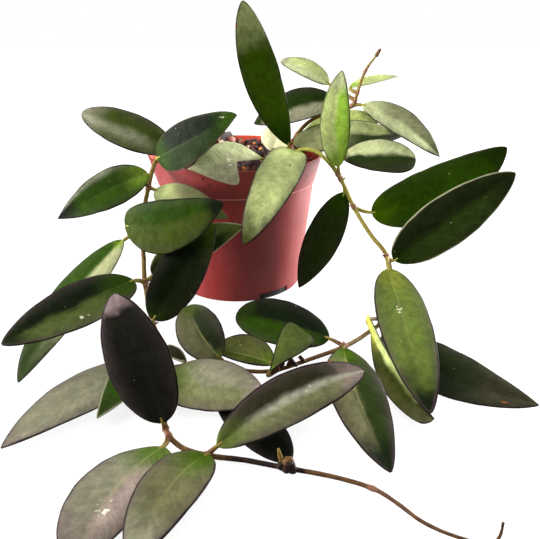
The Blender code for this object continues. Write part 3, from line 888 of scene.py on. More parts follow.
STEMS = {
    "left_trailer": Stem([
        (-26, -10, STEM_ROOT), (-26, -12, 88), (-34, -24, 98), (-46, -39, 98), (-51, -52, 83),
        (-54, -68, 60), (-52, -77, 48), (-50, -88, 35), (-44, -104, 18), (-31, -128, 3), (-28, -154, 2.2),
        (-25, -175, 2.2), (-16, -187, 2.2), (-4, -192, 2.2), (13, -195, 2.2), (29, -199, 2.2),
        (50, -204, 2), (65, -210, 2), (73, -217, 2), (80, -225, 2), (87, -230, 2), (96, -234, 2),
        (102, -237, 3.5), (104, -238, 9), (104, -238, 16),
    ], 0.5, (17,), 0.4, 0.85, (13.6, 15.4)),
    "right_trailer": Stem([
        (38, 0, STEM_ROOT), (38, -2, 88), (45, -10, 97), (56, -21, 96.8), (68, -29, 85), (77, -45, 68),
        (86, -60, 55), (95, -72, 45), (98, -79, 26), (94, -82, 7), (82, -92, 2.5), (67, -106, 2.5),
        (46, -119, 2.5), (27, -129, 2.2), (13, -130, 2.2), (-1, -125, 2.2),
    ], 1.0, (), 0.0, 0.8),
    "back_shoot": Stem([
        (36, 14, STEM_ROOT), (35, 14, 88), (43, 14, 103), (53, 14, 113), (69, 12, 120), (80, 10, 123),
        (83, 8, 132), (87, 6, 146), (95, 4, 158),
    ], 0.55, (7,), 0.75, 0.4),
    "upright_shoot": Stem([(30, -5, STEM_ROOT), (30, -5, 88), (33, -6, 95)]),
    "front_shoot": Stem([(22, -32, STEM_ROOT), (22, -32, 88), (21, -35, 95)]),
    "side_shoot": Stem([
        (46, 12, STEM_ROOT), (46, 12, 88), (52, 11, 96), (60, 8, 98), (67, 2, 95), (71, -3, 92.5),
    ], 1.1),
}
print(len(STEMS), "stems")

# %% [markdown]
# ## Leaves as a table
#
# Every leaf follows one rule, and only its measures differ. The table holds, for each leaf, the joint that
# it grows from, the two ends of its blade, its width, the side that it faces, how much it arches, how
# steeply its halves fold, how it bends sideways, and how blunt its two ends are. The numbers are the packed
# model's, and a few have moved by some millimetres, so that the leaves lie where the photo shows them.

# %% Measures of the leaves
Leaf = namedtuple(
    "Leaf",
    "joint base tip width facing arch fold bend shape",
    defaults=(3, 8, 0, (0.62, 0.85)),
)

LEAVES = {
    "upright_shoot": {
        "tall": Leaf(2, (37, -6, 99), (8, -34, 186), 24, (0.2, -1, 0.1), -2, 6, -3, (0.75, 0.68)),
        "hidden": Leaf(1.4, (25, 4, 93), (32, 4, 112), 22, (-0.2, -1, 0.2), 2),
    },
    "front_shoot": {
        "folded": Leaf(2, (20, -44, 98.5), (-23, -72, 99), 30, (-0.1, -0.9, 0.5), 2.0, -12, 0, (0.9, 0.8)),
    },
    "side_shoot": {
        "upper": Leaf(1.4, (40, 6, 98), (118, 16, 101), 26, (0, -0.8, 0.8), 6, 12, 0, (0.5, 0.7)),
        "lower": Leaf(5, (73, -6, 91), (121, -16, 93), 26, (0, -0.85, 0.7), 5.0, 20, 0, (0.5, 0.5)),
    },
    "back_shoot": {
        "left": Leaf(4, (69, 12, 126), (12, 22, 109), 27, (0, -0.8, 0.7), 6, 16),
        "right": Leaf(5, (87, 8, 124), (139, -10, 92), 24, (0.3, -0.85, 0.8), 6, 12),
        "low": Leaf(2, (48, 22, 102), (104, 30, 111), 22, (0, -0.7, 0.8), 4, 8, 0, (0.6, 0.6)),
        "high": Leaf(5.5, (64, 15, 137), (31, 28, 151), 15.5, (0.2, -0.8, 0.6), 3.5, 8, 0, (0.55, 0.7)),
        "thin": Leaf(6, (78, 12, 135), (114, 26, 141), 11, (0, -0.35, 1), 1.5, 12),
    },
    "right_trailer": {
        "drape": Leaf(1.7, (40, -11, 96.5), (8, -83, 57), 26, (0.1, -1, 1.2), 22, 6, -3.2, (0.6, 0.62)),
        "upright": Leaf(4, (68, -29, 90), (66.5, -34, 149), 19, (-0.1, -1, 0.15), 4, 8, -3.3, (0.62, 0.75)),
        "inner": Leaf(4.1, (72, -36, 75), (44.3, -30, 3), 24, (-0.1, -1, 0.3), 3),
        "high": Leaf(5, (88, -48, 65), (161, -60, 109), 33, (0, -1, 0.2), 2, 8, 6, (0.5, 0.7)),
        "mid": Leaf(7, (98, -78, 45), (152, -96, 103), 30, (0, -1, 0.25), 2, 8, -1.3, (0.55, 0.7)),
        "hang": Leaf(7, (93, -86, 43), (95, -181, 15.5), 27, (-0.1, -0.8, 0.8), 5, 7, 1.1, (0.55, 0.68)),
        "under": Leaf(9, (91, -97, 5), (155, -161, 4), 32, (0, -0.5, 1), 3, 8, 7.5),
        "folded": Leaf(9, (81, -94, 13), (101, -171, 4), 18, (-0.6, -0.5, 0.8), 2, 22, 3.5, (1.1, 0.45)),
        "round": Leaf(11, (59, -98, 3), (3, -74, 8), 31, (0, -0.65, 1), 5, 8, -1.5, (0.55, 0.5)),
        "front": Leaf(11, (65, -116, 8), (74, -203, 3), 27.5, (0, -0.45, 1), 7, 10, 4.5, (0.75, 0.75)),
        "curl": Leaf(13, (22, -136, 4), (41.5, -118, 21), 17, (-0.4, -0.8, 0.2), 3.0, 14, 0.0, (1.0, 0.4)),
        "small": Leaf(13, (26, -131, 8), (-7.5, -120, 10), 17.5, (0, -0.8, 0.8), 3.0, 10, 0, (0.55, 0.5)),
        "end": Leaf(15, (-3, -129, 10), (-21, -112, 33), 25, (0.1, -1, 0.3), 2, 10, -2, (0.55, 0.5)),
    },
    "left_trailer": {
        "rim": Leaf(3, (-38, -36, 103), (-93, -30, 124), 25.5, (0.2, -0.9, 0.8), 4, 6, 0, (0.55, 0.6)),
        "cover": Leaf(3, (-43.5, -53, 101), (6, -75, 129), 25, (0.1, -1, 0.5), 4.0, 4, 1.5, (0.5, 0.7)),
        "short": Leaf(
            4, (-51, -50, 91), (-102.5, -70, 68.5), 27.5, (0, -0.8, 0.8), 4.0, 12, -1, (0.55, 0.85),
        ),
        "shaded": Leaf(4, (-47, -52, 81), (-1.5, -68, 68.4), 20, (0, -0.8, 0.8), 7, 10, 2.5),
        "olive": Leaf(5, (-59.5, -82, 68.5), (-1.5, -92, 84.5), 31.5, (0, -1, 0.3), 3.0, 5, 3, (0.42, 0.7)),
        "tucked": Leaf(7, (-46, -84, 38), (8, -66, 62.6), 21, (0, -1, 0.3), 2, 6, -4, (0.5, 0.8)),
        "dark": Leaf(8, (-42.5, -108, 21.5), (-8, -76, 67), 26.5, (0, -1, 0.2), 2, 5, -0.8, (0.5, 0.7)),
        "long_low": Leaf(5, (-65, -70, 55), (-107, -143, 4), 31, (-0.3, -0.5, 1), -3, 8, 9, (0.6, 0.6)),
        "long_high": Leaf(
            7, (-54.5, -96, 40.5), (-105.5, -152, 33), 29, (0, -0.75, 1), 4, 10, -2, (0.5, 0.7),
        ),
        "black": Leaf(11, (-25, -178, 8), (-43, -166, 68), 28.5, (0, -1, 0.1), 2, 4, 0.3, (0.55, 0.75)),
        "wilted": Leaf(9, (-22, -126, 5), (-37, -121, 9), 9, (0.2, -0.7, 1), 1.0, 14),
        "floor_long": Leaf(9, (-37, -127, 5), (-95, -189, 3), 28, (0, -0.2, 1), 4, 6, 3),
        "floor_tip": Leaf(8, (-45, -108, 14), (-54, -180, 12), 23, (0, -0.3, 1), 2, 8, -5, (0.62, 0.6)),
        "floor_grey": Leaf(11.4, (-23, -190, 5), (-45, -244, 3), 30, (0, -0.2, 1), 5, 6, 2, (0.45, 0.6)),
        "floor_olive": Leaf(13, (-2.5, -199, 9), (-24, -245, 8), 23.5, (0, -0.25, 1), 8, 6, 0.5, (0.5, 0.55)),
        "striped": Leaf(13, (1, -194, 9), (68, -162, 25), 23, (0.1, -0.9, 1), 3, 12, -4, (0.6, 0.62)),
        "floor_black": Leaf(15, (32, -198, 4), (-4, -156, 2.5), 20, (0, -0.3, 1), 2, 4, 2.2),
        "broad": Leaf(9, (-33, -141, 5), (21, -161, 10), 31.5, (0, -0.35, 1), 4, 5, 1, (0.55, 0.6)),
    },
}
print(sum(len(leaves) for leaves in LEAVES.values()), "leaves")

# %% [markdown]
# ## Leaves that break the rule
#
# Real leaves aren't all even. One is folded like a paper hat, one has wilted, and many have one half
# broader or more pointed than the other, as the photo's outlines show. Modelling those by hand would leave
# the rule behind. So the rule takes each half's measures by itself, and a short list gives them for the
# uneven leaves.

# %% Special forms
# left and right are the halves seen from above with the tip up,
# each as (half width, blunt, point, start, fold).
Form = namedtuple("Form", "left right", defaults=(None, None))

FORMS = {
    ("front_shoot", "folded"): Form((14.0, 0.16, 1.05, 0.42, 0), (13.2, 1.25, 1.45, 0.0, 4)),
    ("side_shoot", "upper"): Form((12.5, 0.5, 0.7, 0, 12), (13.0, 0.5, 0.8, 0, 14)),
    ("side_shoot", "lower"): Form((11.0, 0.6, 0.6, 0, 10), (16.5, 0.75, 0.4, 0, 20)),
    ("back_shoot", "high"): Form((6.5, 0.5, 0.6, 0, 8), (8.2, 0.5, 0.6, 0, 8)),
    ("right_trailer", "folded"): Form((8.5, 0.2, 0.85, 0, 56), (10.5, 1.0, 0.45, 0.14, 6)),
    ("right_trailer", "curl"): Form((9.5, 1.4, 0.24, 0, 10), (9.5, 1.3, 0.2, 0, 6)),
    ("right_trailer", "small"): Form((4.5, 0.5, 0.6, 0, 10), (11.5, 0.55, 0.7, 0, 10)),
    ("left_trailer", "rim"): Form((14.0, 0.5, 0.62, 0, 6), (11.3, 0.42, 0.5, 0, 6)),
    ("left_trailer", "cover"): Form((12.5, 0.36, 0.62, 0, 4), (12.6, 0.48, 1.0, 0, 4)),
    ("left_trailer", "short"): Form((13.5, 0.6, 0.95, 0, 12), (13.8, 0.55, 0.95, 0, 12)),
    ("left_trailer", "olive"): Form((12.8, 0.28, 0.55, 0, 5), (17.4, 0.55, 0.95, 0, 5)),
    ("left_trailer", "dark"): Form((14.2, 0.5, 0.55, 0, 5), (13.0, 0.5, 0.85, 0, 5)),
    ("left_trailer", "black"): Form((15.3, 0.5, 0.6, 0, 4), (14.6, 0.55, 0.65, 0, 4)),
    ("left_trailer", "long_low"): Form((15.5, 0.6, 0.8, 0, 8), (15.5, 0.6, 0.8, 0, 8)),
    ("left_trailer", "floor_tip"): Form((11.5, 0.62, 0.95, 0, 8), (11.5, 0.6, 0.8, 0, 8)),
    ("left_trailer", "floor_grey"): Form((15.0, 0.45, 0.6, 0, 6), (15.5, 0.85, 0.6, 0, 6)),
    ("left_trailer", "wilted"): Form((3.0, 0.5, 0.6, 0, 50), (6.0, 0.7, 0.5, 0, 30)),
}
print(len(FORMS), "uneven leaves")

# %% [markdown]
# ## Colours of the leaves
#
# No two leaves are alike on the real plant: some are fresh and green, some old and grey, and some nearly
# black, with a purple edge. The tones also hold painted light: part of the grey is painted sheen and part of
# the black is painted shade. A second table says how each one is coloured, in the words of a small palette,
# so that the palette can be tuned in one place. Random colours would be quicker, but they would never match
# the plant.

# %% Palette and looks
SHADES = {
    "pitch": (1, 3, 0), "coal": (8, 21, 2), "ink": (24, 23, 18), "fir": (22, 31, 7), "night": (21, 38, 0),
    "ivy": (33, 46, 11), "umber": (48, 47, 27), "bottle": (36, 61, 1), "laurel": (55, 68, 13),
    "leaf": (60, 88, 0), "fern": (71, 82, 36), "olive": (80, 85, 38), "smoke": (94, 93, 62),
    "fresh": (93, 116, 32), "moss": (108, 109, 73), "mauve": (114, 104, 92), "clover": (86, 101, 40),
    "taupe": (142, 126, 116), "reed": (118, 126, 44), "ash": (121, 119, 97), "sage": (136, 139, 100),
    "lilac": (166, 144, 143), "stone": (151, 150, 118), "grass": (145, 185, 61), "frost": (172, 182, 118),
    "pale": (187, 193, 143), "lime": (204, 200, 84), "cream": (198, 212, 131), "chalk": (248, 247, 198),
}
GREENS = {name: paint(*shade) for name, shade in SHADES.items()}

# left and right are the two halves, seen from above with the tip up; their tones hold painted sheen and
# painted shade along with the leaf's own colour. base and tip colour the two ends, over base_reach and
# tip_reach of the length. dust, stripe and rim say how much grey bloom, pale midrib and purple edge it has;
# rim also darkens the border with painted shade, and where it is low the edge line is a pale painted glint.
# scar and fleck are (share, side, size) of a brown wound and of dried white sap.
# band is (side, width, strength) of a pale streak that runs the length of the blade: painted sheen, with
# some grey bloom.
Look = namedtuple(
    "Look",
    "left right base tip base_reach tip_reach dust stripe rim scar fleck band",
    defaults=("fresh", None, 0.22, 0.0, 0.3, 0.3, 0.5, (0, 0, 0), (0, 0, 0), (0, 0, 0)),
)

LOOKS = {
    "upright_shoot": {
        "tall": Look("leaf", "leaf", "bottle", "frost", 0.35, 0.34, 0.05, 0.0, 0.4, (0.88, -0.9, 0.02)),
        # The hidden leaf's chalk-white tones are painted light: they brighten a leaf that lies in the tall
        # leaf's shade.
        "hidden": Look("chalk", "chalk", "chalk", dust=0.1, rim=0.1),
    },
    "front_shoot": {
        "folded": Look("stone", "pale", "cream", "pale", 0.15, 0.3, 0.5, 0.0, 0.2, fleck=(0.5, 0.15, 0.1)),
    },
    "side_shoot": {
        # The upper leaf's dark right half is painted shade, for the half turned away from the light.
        "upper": Look("pale", "ivy", "sage", "fir", 0.7, 0.2, 0.1, 0.1, 0.5),
        "lower": Look("pale", "ivy", "moss", base_reach=0.15, dust=0.1, stripe=0.0, fleck=(0.12, -0.4, 0.08)),
    },
    "back_shoot": {
        "left": Look("ash", "night", "moss", "night", 0.1, 0.2, 0.05, 0.1, 0.6),
        "right": Look("sage", "pale", "pale", "olive", 0.3, 0.22, 0.4, 0.0, 0.6),
        "low": Look("cream", "frost", "frost", "fern", 0.3, 0.3, 0.1, 0.0, 0.2),
        "high": Look("pale", "frost", "pale", "stone", 0.25, 0.2, 0.4, 0.0, 0.4),
        "thin": Look("cream", "frost", "grass", "stone", 0.25, 0.3, 0.1, 0.0, 0.2),
    },
    "right_trailer": {
        "drape": Look("frost", "frost", "fresh", "olive", 0.35, 0.22, 0.4, 0.0, 0.9, (0.42, -0.3, 0.012)),
        "upright": Look("cream", "grass", "grass", "pale", 0.3, 0.3, 0.2, 0.1, 0.4),
        "inner": Look("ivy", "ivy", "bottle", "umber", 0.3, 0.2, 0.0, 0.0, 0.5),
        "high": Look("bottle", "bottle", "leaf", "night", 0.3, 0.35, 0.0, 0.0, 0.3),
        "mid": Look("fir", "ivy", "night", "fir", 0.2, 0.3, 0.0, 0.0, 0.2),
        "hang": Look(
            "clover", "clover", "reed", "coal", 0.3, 0.3, 0.15, 0.3, 0.9,
            (0.2, 0, 0.01), (0.38, 0.1, 0.04),
        ),
        "under": Look("fir", "coal", "coal", "umber", 0.2, 0.45, 0.1, 0.0, 0.4, (0.84, 0.6, 0.02)),
        "folded": Look("cream", "olive", "lime", "smoke", 0.4, 0.25, 0.1, 0.0, 0.5),
        "round": Look("bottle", "coal", "night", "ivy", 0.2, 0.2, 0.1, 0.1, 0.5),
        "front": Look("ivy", "smoke", "leaf", "coal", 0.35, 0.25, 0.1, 0.6, 0.8, fleck=(0.42, 0.1, 0.07)),
        "curl": Look("clover", "fern", "fresh", "fern", 0.3, 0.25, 0.2, 0.1, 0.5),
        "small": Look("laurel", "olive", "fresh", "umber", 0.3, 0.3, 0.3, 0.5, 0.6, fleck=(0.55, 0.3, 0.04)),
        "end": Look("smoke", "fir", "fern", "laurel", 0.2, 0.25, 0.5, 0.7, 0.7),
    },
    "left_trailer": {
        "rim": Look("fern", "laurel", "bottle", "ash", 0.3, 0.3, 0.5, 0.1, 0.6, band=(-0.35, 0.5, 0.45)),
        "cover": Look("coal", "night", "bottle", "bottle", 0.3, 0.3, 0.0, 0.1, 0.3, fleck=(0.86, -0.4, 0.04)),
        "short": Look(
            "bottle", "bottle", "fresh", "pitch", 0.35, 0.25, 0.1, 0.1, 0.5, band=(0.9, 0.35, 0.45),
        ),
        "shaded": Look("moss", "moss", "frost", "laurel", 0.45, 0.3, 0.4, 0.5, 0.3),
        "olive": Look("bottle", "laurel", "laurel", "coal", 0.3, 0.2, 0.2, 0.0, 0.4, fleck=(0.5, 0.25, 0.02)),
        "tucked": Look("fern", "night", "fir", "fern", 0.3, 0.3, 0.1, 0.0, 0.2),
        "dark": Look("coal", "fir", "ivy", "laurel", 0.25, 0.35, 0.1, 0.0, 0.4),
        "long_low": Look("sage", "bottle", "fresh", "ivy", 0.1, 0.5, 0.1, 0.3, 0.4),
        "long_high": Look(
            "fern", "coal", "bottle", "fir", 0.4, 0.25, 0.2, 0.1, 0.8, fleck=(0.5, -0.6, 0.035),
        ),
        # The black leaf's lilac tip is a painted highlight.
        "black": Look("ink", "ink", "ink", "lilac", 0.1, 0.17, 0.2, 0.0, 0.8),
        "wilted": Look("umber", "umber", "umber", "mauve", 0.2, 0.3, 0.2, 0.0, 0.2),
        "floor_long": Look("ash", "ash", "moss", "mauve", 0.1, 0.2, 0.5, 0.3, 0.9),
        "floor_tip": Look("bottle", "bottle", "bottle", "ivy", 0.2, 0.2, 0.1, 0.1, 0.25),
        "floor_grey": Look(
            "taupe", "ash", "leaf", "mauve", 0.45, 0.4, 0.4, 0.4, 0.9, fleck=(0.66, -0.1, 0.07),
        ),
        "floor_olive": Look("smoke", "smoke", "leaf", "ash", 0.5, 0.4, 0.3, 0.3, 0.9),
        "striped": Look(
            "umber", "moss", "clover", "taupe", 0.3, 0.25, 0.3, 0.2, 1.0,
            (0.8, -1, 0.02), (0.62, 0, 0.05), (-0.02, 0.3, 1.0),
        ),
        "floor_black": Look("pitch", "pitch", "pitch", "pitch", 0.1, 0.1, 0.0, 0.0, 0.4),
        "broad": Look("ash", "moss", "clover", "taupe", 0.5, 0.2, 0.4, 0.1, 1.0),
    },
}
print(len(GREENS), "greens")

# %% [markdown]
# ## Turning routes into stems
#
# A smooth curve runs through the route's points, and stations every couple of millimetres carry a
# thickness: thinner towards the tip and swollen at each joint. Each leaf's stalk is one more short line of
# stations, from the joint into the foot of the blade.

# %% Stations along stems and stalks
SPLINE_STEPS = 6
STATION = 1.6
NUBS = 3
NUB_LENGTH = (1.8, 3.4)
NUB_SPREAD = 2.0
NUB_RADIUS = 0.85
# How far, in route points, a dark stretch fades at its ends.
DARK_FADE = 0.4
# Stalks that start lower than this are darker by the second number.
NEAR_TABLE = 15.0
DARKENING = 0.35
# Dead stubs, buds and clods of old root, each as (start, end, thickness, age).
STUBS = {
    "left_trailer": [
        ((29, -198.5, 3), (27, -196.5, 10), 1.1, 0.5),
        ((30, -199, 4), (33, -198.5, 6.5), 2.4, 0.72),
        ((31, -200, 4), (34, -200.5, 4.5), 2.5, 0.95),
        ((32, -200, 3), (34.5, -202, 2.8), 2.1, 0.98),
        ((30, -199.5, 3), (31, -202, 2.6), 2.0, 0.98),
        ((28.5, -199, 4), (27, -200.5, 3), 1.6, 0.98),
    ],
    "right_trailer": [
        ((36, -123, 5), (33, -126.5, 3), 1.5, 1.0),
        ((35, -124, 5), (38.5, -127, 3.5), 1.4, 1.0),
        ((31, -126, 5), (28.5, -128.5, 3), 1.3, 1.0),
        ((40, -120, 5), (43, -123, 3.5), 1.2, 0.9),
    ],
    "back_shoot": [((93, 4, 155), (95.6, 4, 159.5), 1.3, 0.6)],
}


def unit(vector):
    """A vector of length 1."""
    vector = np.array(vector, float)
    return vector / np.linalg.norm(vector)


def spline(points):
    """A smooth curve through points, with equal numbers of steps between them."""
    points = np.array(points, float)
    padded = np.vstack([2 * points[0] - points[1], points, 2 * points[-1] - points[-2]])
    curve = []
    for k in range(1, len(padded) - 2):
        before, here, there, after = padded[k - 1 : k + 3]
        for t in np.arange(SPLINE_STEPS) / SPLINE_STEPS:
            bend = 2 * before - 5 * here + 4 * there - after
            snap = 3 * here - before - 3 * there + after
            curve.append(0.5 * (2 * here + (there - before) * t + bend * t**2 + snap * t**3))
    return np.array(curve + [points[-1]])


def leaf_foot(leaf):
    """Where a blade starts and which way it runs there."""
    base, tip = np.array(leaf.base, float), np.array(leaf.tip, float)
    length = np.linalg.norm(tip - base)
    axis = (tip - base) / length
    face = np.array(leaf.facing, float)
    face = unit(face - axis * (face @ axis))
    side = np.cross(axis, face)
    return base, unit(axis * length + 4 * (face * leaf.arch + side * leaf.bend))


def stem_line(stem, joints):
    """Stations (place, thickness, joint, age) along one stem."""
    curve = spline(stem.route)
    lengths = np.concatenate([[0], np.cumsum(np.linalg.norm(np.diff(curve, axis=0), axis=1))])
    total = lengths[-1]
    rings = sorted({lengths[min(len(curve) - 1, round(joint * SPLINE_STEPS))] for joint in joints})
    stations = []
    for stop in np.linspace(0.0, total, int(total / STATION) + 1):
        share = stop / total
        plain = STEM_RADIUS + (stem.tip - STEM_RADIUS) * share**4
        nearest = min([abs(stop - ring) for ring in rings] + [total]) / JOINT_LENGTH
        swell, wide = math.exp(-(nearest**2) * 3), math.exp(-(nearest**2) * 0.6)
        thick = plain + (JOINT_RADIUS - STEM_RADIUS) * swell * plain / STEM_RADIUS
        point = [np.interp(stop, lengths, curve[:, axis]) for axis in range(3)]
        number = np.interp(stop, lengths, np.arange(len(curve))) / SPLINE_STEPS
        first, last = stem.dark
        dark = float(np.interp(number, (first - DARK_FADE, first, last, last + DARK_FADE), (0, 1, 1, 0)))
        age = stem.young + (stem.old - stem.young) * share
        stations.append((point, thick, wide, max(age, dark) if last else age))
    return stations


def stalk_line(leaf, start, age):
    """Stations along a leaf's stalk, from the stem's joint into the foot of the blade."""
    foot, along = leaf_foot(leaf)
    start = np.array(start, float)
    end = foot + along * STALK_SINK
    bend = foot - along * min(0.5 * np.linalg.norm(foot - start), STALK_REACH)
    stations = []
    for t in np.linspace(0, 1, STALK_STATIONS):
        point = (1 - t) ** 2 * start + 2 * t * (1 - t) * bend + t**2 * end
        thick = STALK_RADIUS * (1.15 - 0.55 * t**3 + 0.25 * math.exp(-t * 8))
        stations.append((point, thick, math.exp(-t * 3.5), age * (1 - 0.6 * t)))
    return stations


def nub_lines(curve, joints, age, seed):
    """Short pointed lines round each joint: the starts of the roots that a climbing hoya clings with."""
    luck = np.random.default_rng(seed)
    lines = []
    for joint in joints:
        at = min(len(curve) - 2, round(joint * SPLINE_STEPS))
        along = unit(curve[at + 1] - curve[at - 1])
        for _ in range(NUBS):
            outwards = luck.normal(size=3)
            outwards = unit(outwards - along * (outwards @ along))
            length = luck.uniform(*NUB_LENGTH)
            start = curve[at] + along * luck.uniform(-NUB_SPREAD, NUB_SPREAD)
            steps = (0.0, 0.5, 0.8, 1.0)
            lines.append([(start + outwards * length * t, NUB_RADIUS - 0.5 * t, 1.0, age) for t in steps])
    return lines


def lines_mesh(name, lines):
    """A mesh of bare edges, one run for each line, whose points carry thickness, joint and age."""
    mesh = bpy.data.meshes.new(name)
    points, edges, values = [], [], []
    for line in lines:
        first = len(points)
        points += [tuple(np.array(station[0]) * MM) for station in line]
        values += [station[1:] for station in line]
        edges += [(first + k, first + k + 1) for k in range(len(line) - 1)]
    mesh.from_pydata(points, edges, [])
    for column, label in enumerate(("thick", "joint", "age")):
        stored = mesh.attributes.new(label, "FLOAT", "POINT")
        stored.data.foreach_set("value", [value[column] for value in values])
    return mesh


print("a station every", STATION, "mm")

# %% [markdown]
# ## From lines to stems
#
# A vine's stem is round, a little uneven, and rough at the joints, where short clinging roots and the stubs
# of dropped leaves stick out. A fixed bevel on a curve would make it one thickness all along. The tree
# sweeps a ring along the stations instead and scales it by each one's thickness, and the finish reads age
# and joint from them.

# %% The stem tree
STEM_STOPS = [
    (0, 156, 162, 70), (0.35, 144, 128, 56), (0.65, 98, 68, 34), (0.9, 62, 38, 26), (1, 30, 17, 15),
]


def stem_tree():
    """Tubes along lines of points, each point with its own thickness, roughened by noise."""
    inputs = {
        "Lines": ("Geometry", None),
        "Sides": ("Int", 14),
        **floats(Unevenness=0.00018),
        "Finish": ("Material", None),
    }
    tree, wires, end = new_tree("wiry stems", "GeometryNodeTree", inputs, {"Stems": "Geometry"})
    path = put(tree, "GeometryNodeMeshToCurve", {"Mesh": wires["Lines"]})
    sockets = {"Resolution": wires["Sides"], "Radius": MM}
    ring = put(tree, "GeometryNodeCurvePrimitiveCircle", sockets, mode="RADIUS")
    sockets = {"Curve": path, "Profile Curve": ring, "Scale": named(tree, "thick"), "Fill Caps": True}
    tube = put(tree, "GeometryNodeCurveToMesh", sockets)
    uneven = (noise_of(put(tree, "GeometryNodeInputPosition"), 420.0, 2.0) - 0.5) * 2.0
    push = put(tree, "GeometryNodeInputNormal") * (uneven * wires["Unevenness"])
    tube = step(step(tube, "SetPosition", {"Offset": push}), "SetShadeSmooth")
    tube = step(tube, "RealizeInstances")
    feed(tree, end.inputs["Stems"], step(tube, "SetMaterial", {"Material": wires["Finish"]}))
    return tree


def stem_finish():
    """Green-yellow when young, brown when old, and darkest at the joints."""
    look, tree, shader, place = new_finish("hoya stem")
    age = attribute(tree, "age")
    joint = attribute(tree, "joint")
    rings = cloud_mask(place, 320.0, 0.25)
    colour = layered(
        graded(age + (rings - 0.5) * 0.25, STEM_STOPS),
        ((164, 112, 88), smooth(joint, 0.45, 1.0) * smooth(age, 1.0, 0.9) * 0.8),
        ((44, 22, 18), smooth(joint, 0.6, 1.0) * rings * 0.7),
        ((60, 36, 26), speck_mask(place, 900.0, 0.35, 0.3) * 0.6),
    )
    values = {"Base Color": colour, "Roughness": 0.48 + rings * 0.15, "Specular IOR Level": 0.15}
    complete(shader, 0.0003, effect(RELIEF, place, 500.0, 2200.0, 0.4), values)
    return look


STEM_TREE = stem_tree()
stem_look = stem_finish()


def make_stem(name):
    """One stem with the stalks of its leaves."""
    stem, leaves = STEMS[name], LEAVES[name].values()
    curve = spline(stem.route)
    lines = [stem_line(stem, [leaf.joint for leaf in leaves] + list(stem.bare))]
    for leaf in leaves:
        at = min(len(curve) - 1, round(leaf.joint * SPLINE_STEPS))
        age = stem.young + (stem.old - stem.young) * at / len(curve)
        lines.append(stalk_line(leaf, curve[at], age + (DARKENING if curve[at][2] < NEAR_TABLE else 0.0)))
    if name.endswith("trailer"):
        lines += nub_lines(curve, [leaf.joint for leaf in leaves], 0.6, len(lines))
    for start, end, thick, age in STUBS.get(name, []):
        start, end = np.array(start, float), np.array(end, float)
        steps = (0.0, 0.3, 0.6, 0.85, 1.0)
        lines.append([(start + (end - start) * t, thick * (1 - 0.5 * t**3), 0.5 * t, age) for t in steps])
    return grow(f"{name}_stem", lines_mesh(name, lines), STEM_TREE, {"Finish": stem_look})


for name in STEMS:
    place_piece(make_stem(name), "foliage", name)

# %% [markdown]
# ## One rule for every blade
#
# A hoya leaf is a thick, stiff blade. Its middle line runs from base to tip in a shallow arch, its two
# halves fold up from it like a very open book, and its outline swells quickly from the base and narrows to
# the tip. Sculpting forty leaves one by one would make forty places to keep right. Instead each leaf is one
# point that carries its measures as attributes. Geometry Nodes puts the same blank tube on every point and
# then moves all the tubes' corners by the rule, so a blank becomes that point's leaf.

# %% Leaf points that carry their measures
# How far apart two leaves lie in the noise of their waves and of their streaks.
WAVE_SEED = 17.3
STREAK_SEED = 3.7


def leaf_measures(name, label, index):
    """The measures and colours of one leaf, each as three numbers."""
    leaf, look, form = LEAVES[name][label], LOOKS[name][label], FORMS.get((name, label), Form())
    plain = (leaf.width / 2, *leaf.shape, 0.0, leaf.fold)
    left, right = form.left or plain, form.right or plain
    return {
        "leaf_base": leaf.base,
        "leaf_tip": leaf.tip,
        "leaf_face": leaf.facing,
        "leaf_curve": (leaf.arch, leaf.bend, WAVE_SEED * index + len(name)),
        "left_half": left[:3],
        "left_fold": (left[3], left[4], 0),
        "right_half": right[:3],
        "right_fold": (right[3], right[4], 0),
        "tone_left": GREENS[look.left],
        "tone_right": GREENS[look.right],
        "tone_base": GREENS[look.base],
        "tone_tip": GREENS[look.tip or look.left],
        "reaches": (look.base_reach, look.tip_reach if look.tip else 0.0, STREAK_SEED * index + len(name)),
        "marks": (look.dust, look.stripe, look.rim),
        "scar": look.scar,
        "fleck": look.fleck,
        "band": look.band,
    }


def leaf_points(name):
    """A mesh with one point for each leaf, which carries its measures and its colours."""
    mesh = bpy.data.meshes.new(f"{name}_leaf_points")
    rows = [leaf_measures(name, label, index) for index, label in enumerate(LEAVES[name])]
    mesh.from_pydata([row["leaf_base"] for row in rows], [], [])
    for key in rows[0]:
        values = [float(number) for row in rows for number in row[key]]
        mesh.attributes.new(key, "FLOAT_VECTOR", "POINT").data.foreach_set("vector", values)
    return mesh


print("each leaf point carries", len(leaf_measures("upright_shoot", "tall", 0)), "measures")

# %% [markdown]
# ## The blade tree
#
# Each corner of a blank tube knows its share of the length and its turn round the tube. The turn's cosine
# says how far out to the side the corner lies, and its sine says whether it is on the upper or the lower
# face. The rule then builds the blade from the middle line outwards: sideways by the outline, upwards by
# the fold, and a little up and down by noise, for the waves and puckers of a leathery leaf.

# %% The blade tree
# The least half width of a blade, how softly its two halves meet, and how low its middle may lie.
LEAST_HALF = 0.4
SOFT_FOLD = 0.13
LOWEST = 0.5
# Unevenness of a blade: how often it repeats along and across, and where in the noise it starts.
RIPPLES = (6.0, 5.0, 0.0)
WAVES = (5.0, 1.2, 7.0)
PUCKERS = (14.0, 3.0, 30.0)


def blank_blade(tree, rows, around):
    """A straight tube whose points know their share of the length and their turn round it."""
    line = put(tree, "GeometryNodeCurvePrimitiveLine", {"Start": (0, 0, 0), "End": (0, 0, 1)})
    line = put(tree, "GeometryNodeResampleCurve", {"Curve": line, "Count": rows})
    factor = put(tree, "GeometryNodeSplineParameter", result="Factor")
    line = keep(line, "share", factor)
    sockets = {"Resolution": around, "Radius": 0.1}
    ring = put(tree, "GeometryNodeCurvePrimitiveCircle", sockets, mode="RADIUS")
    ring = keep(ring, "turn", factor * (2 * math.pi))
    sockets = {"Curve": line, "Profile Curve": ring, "Scale": 1.0, "Fill Caps": True}
    return put(tree, "GeometryNodeCurveToMesh", sockets)


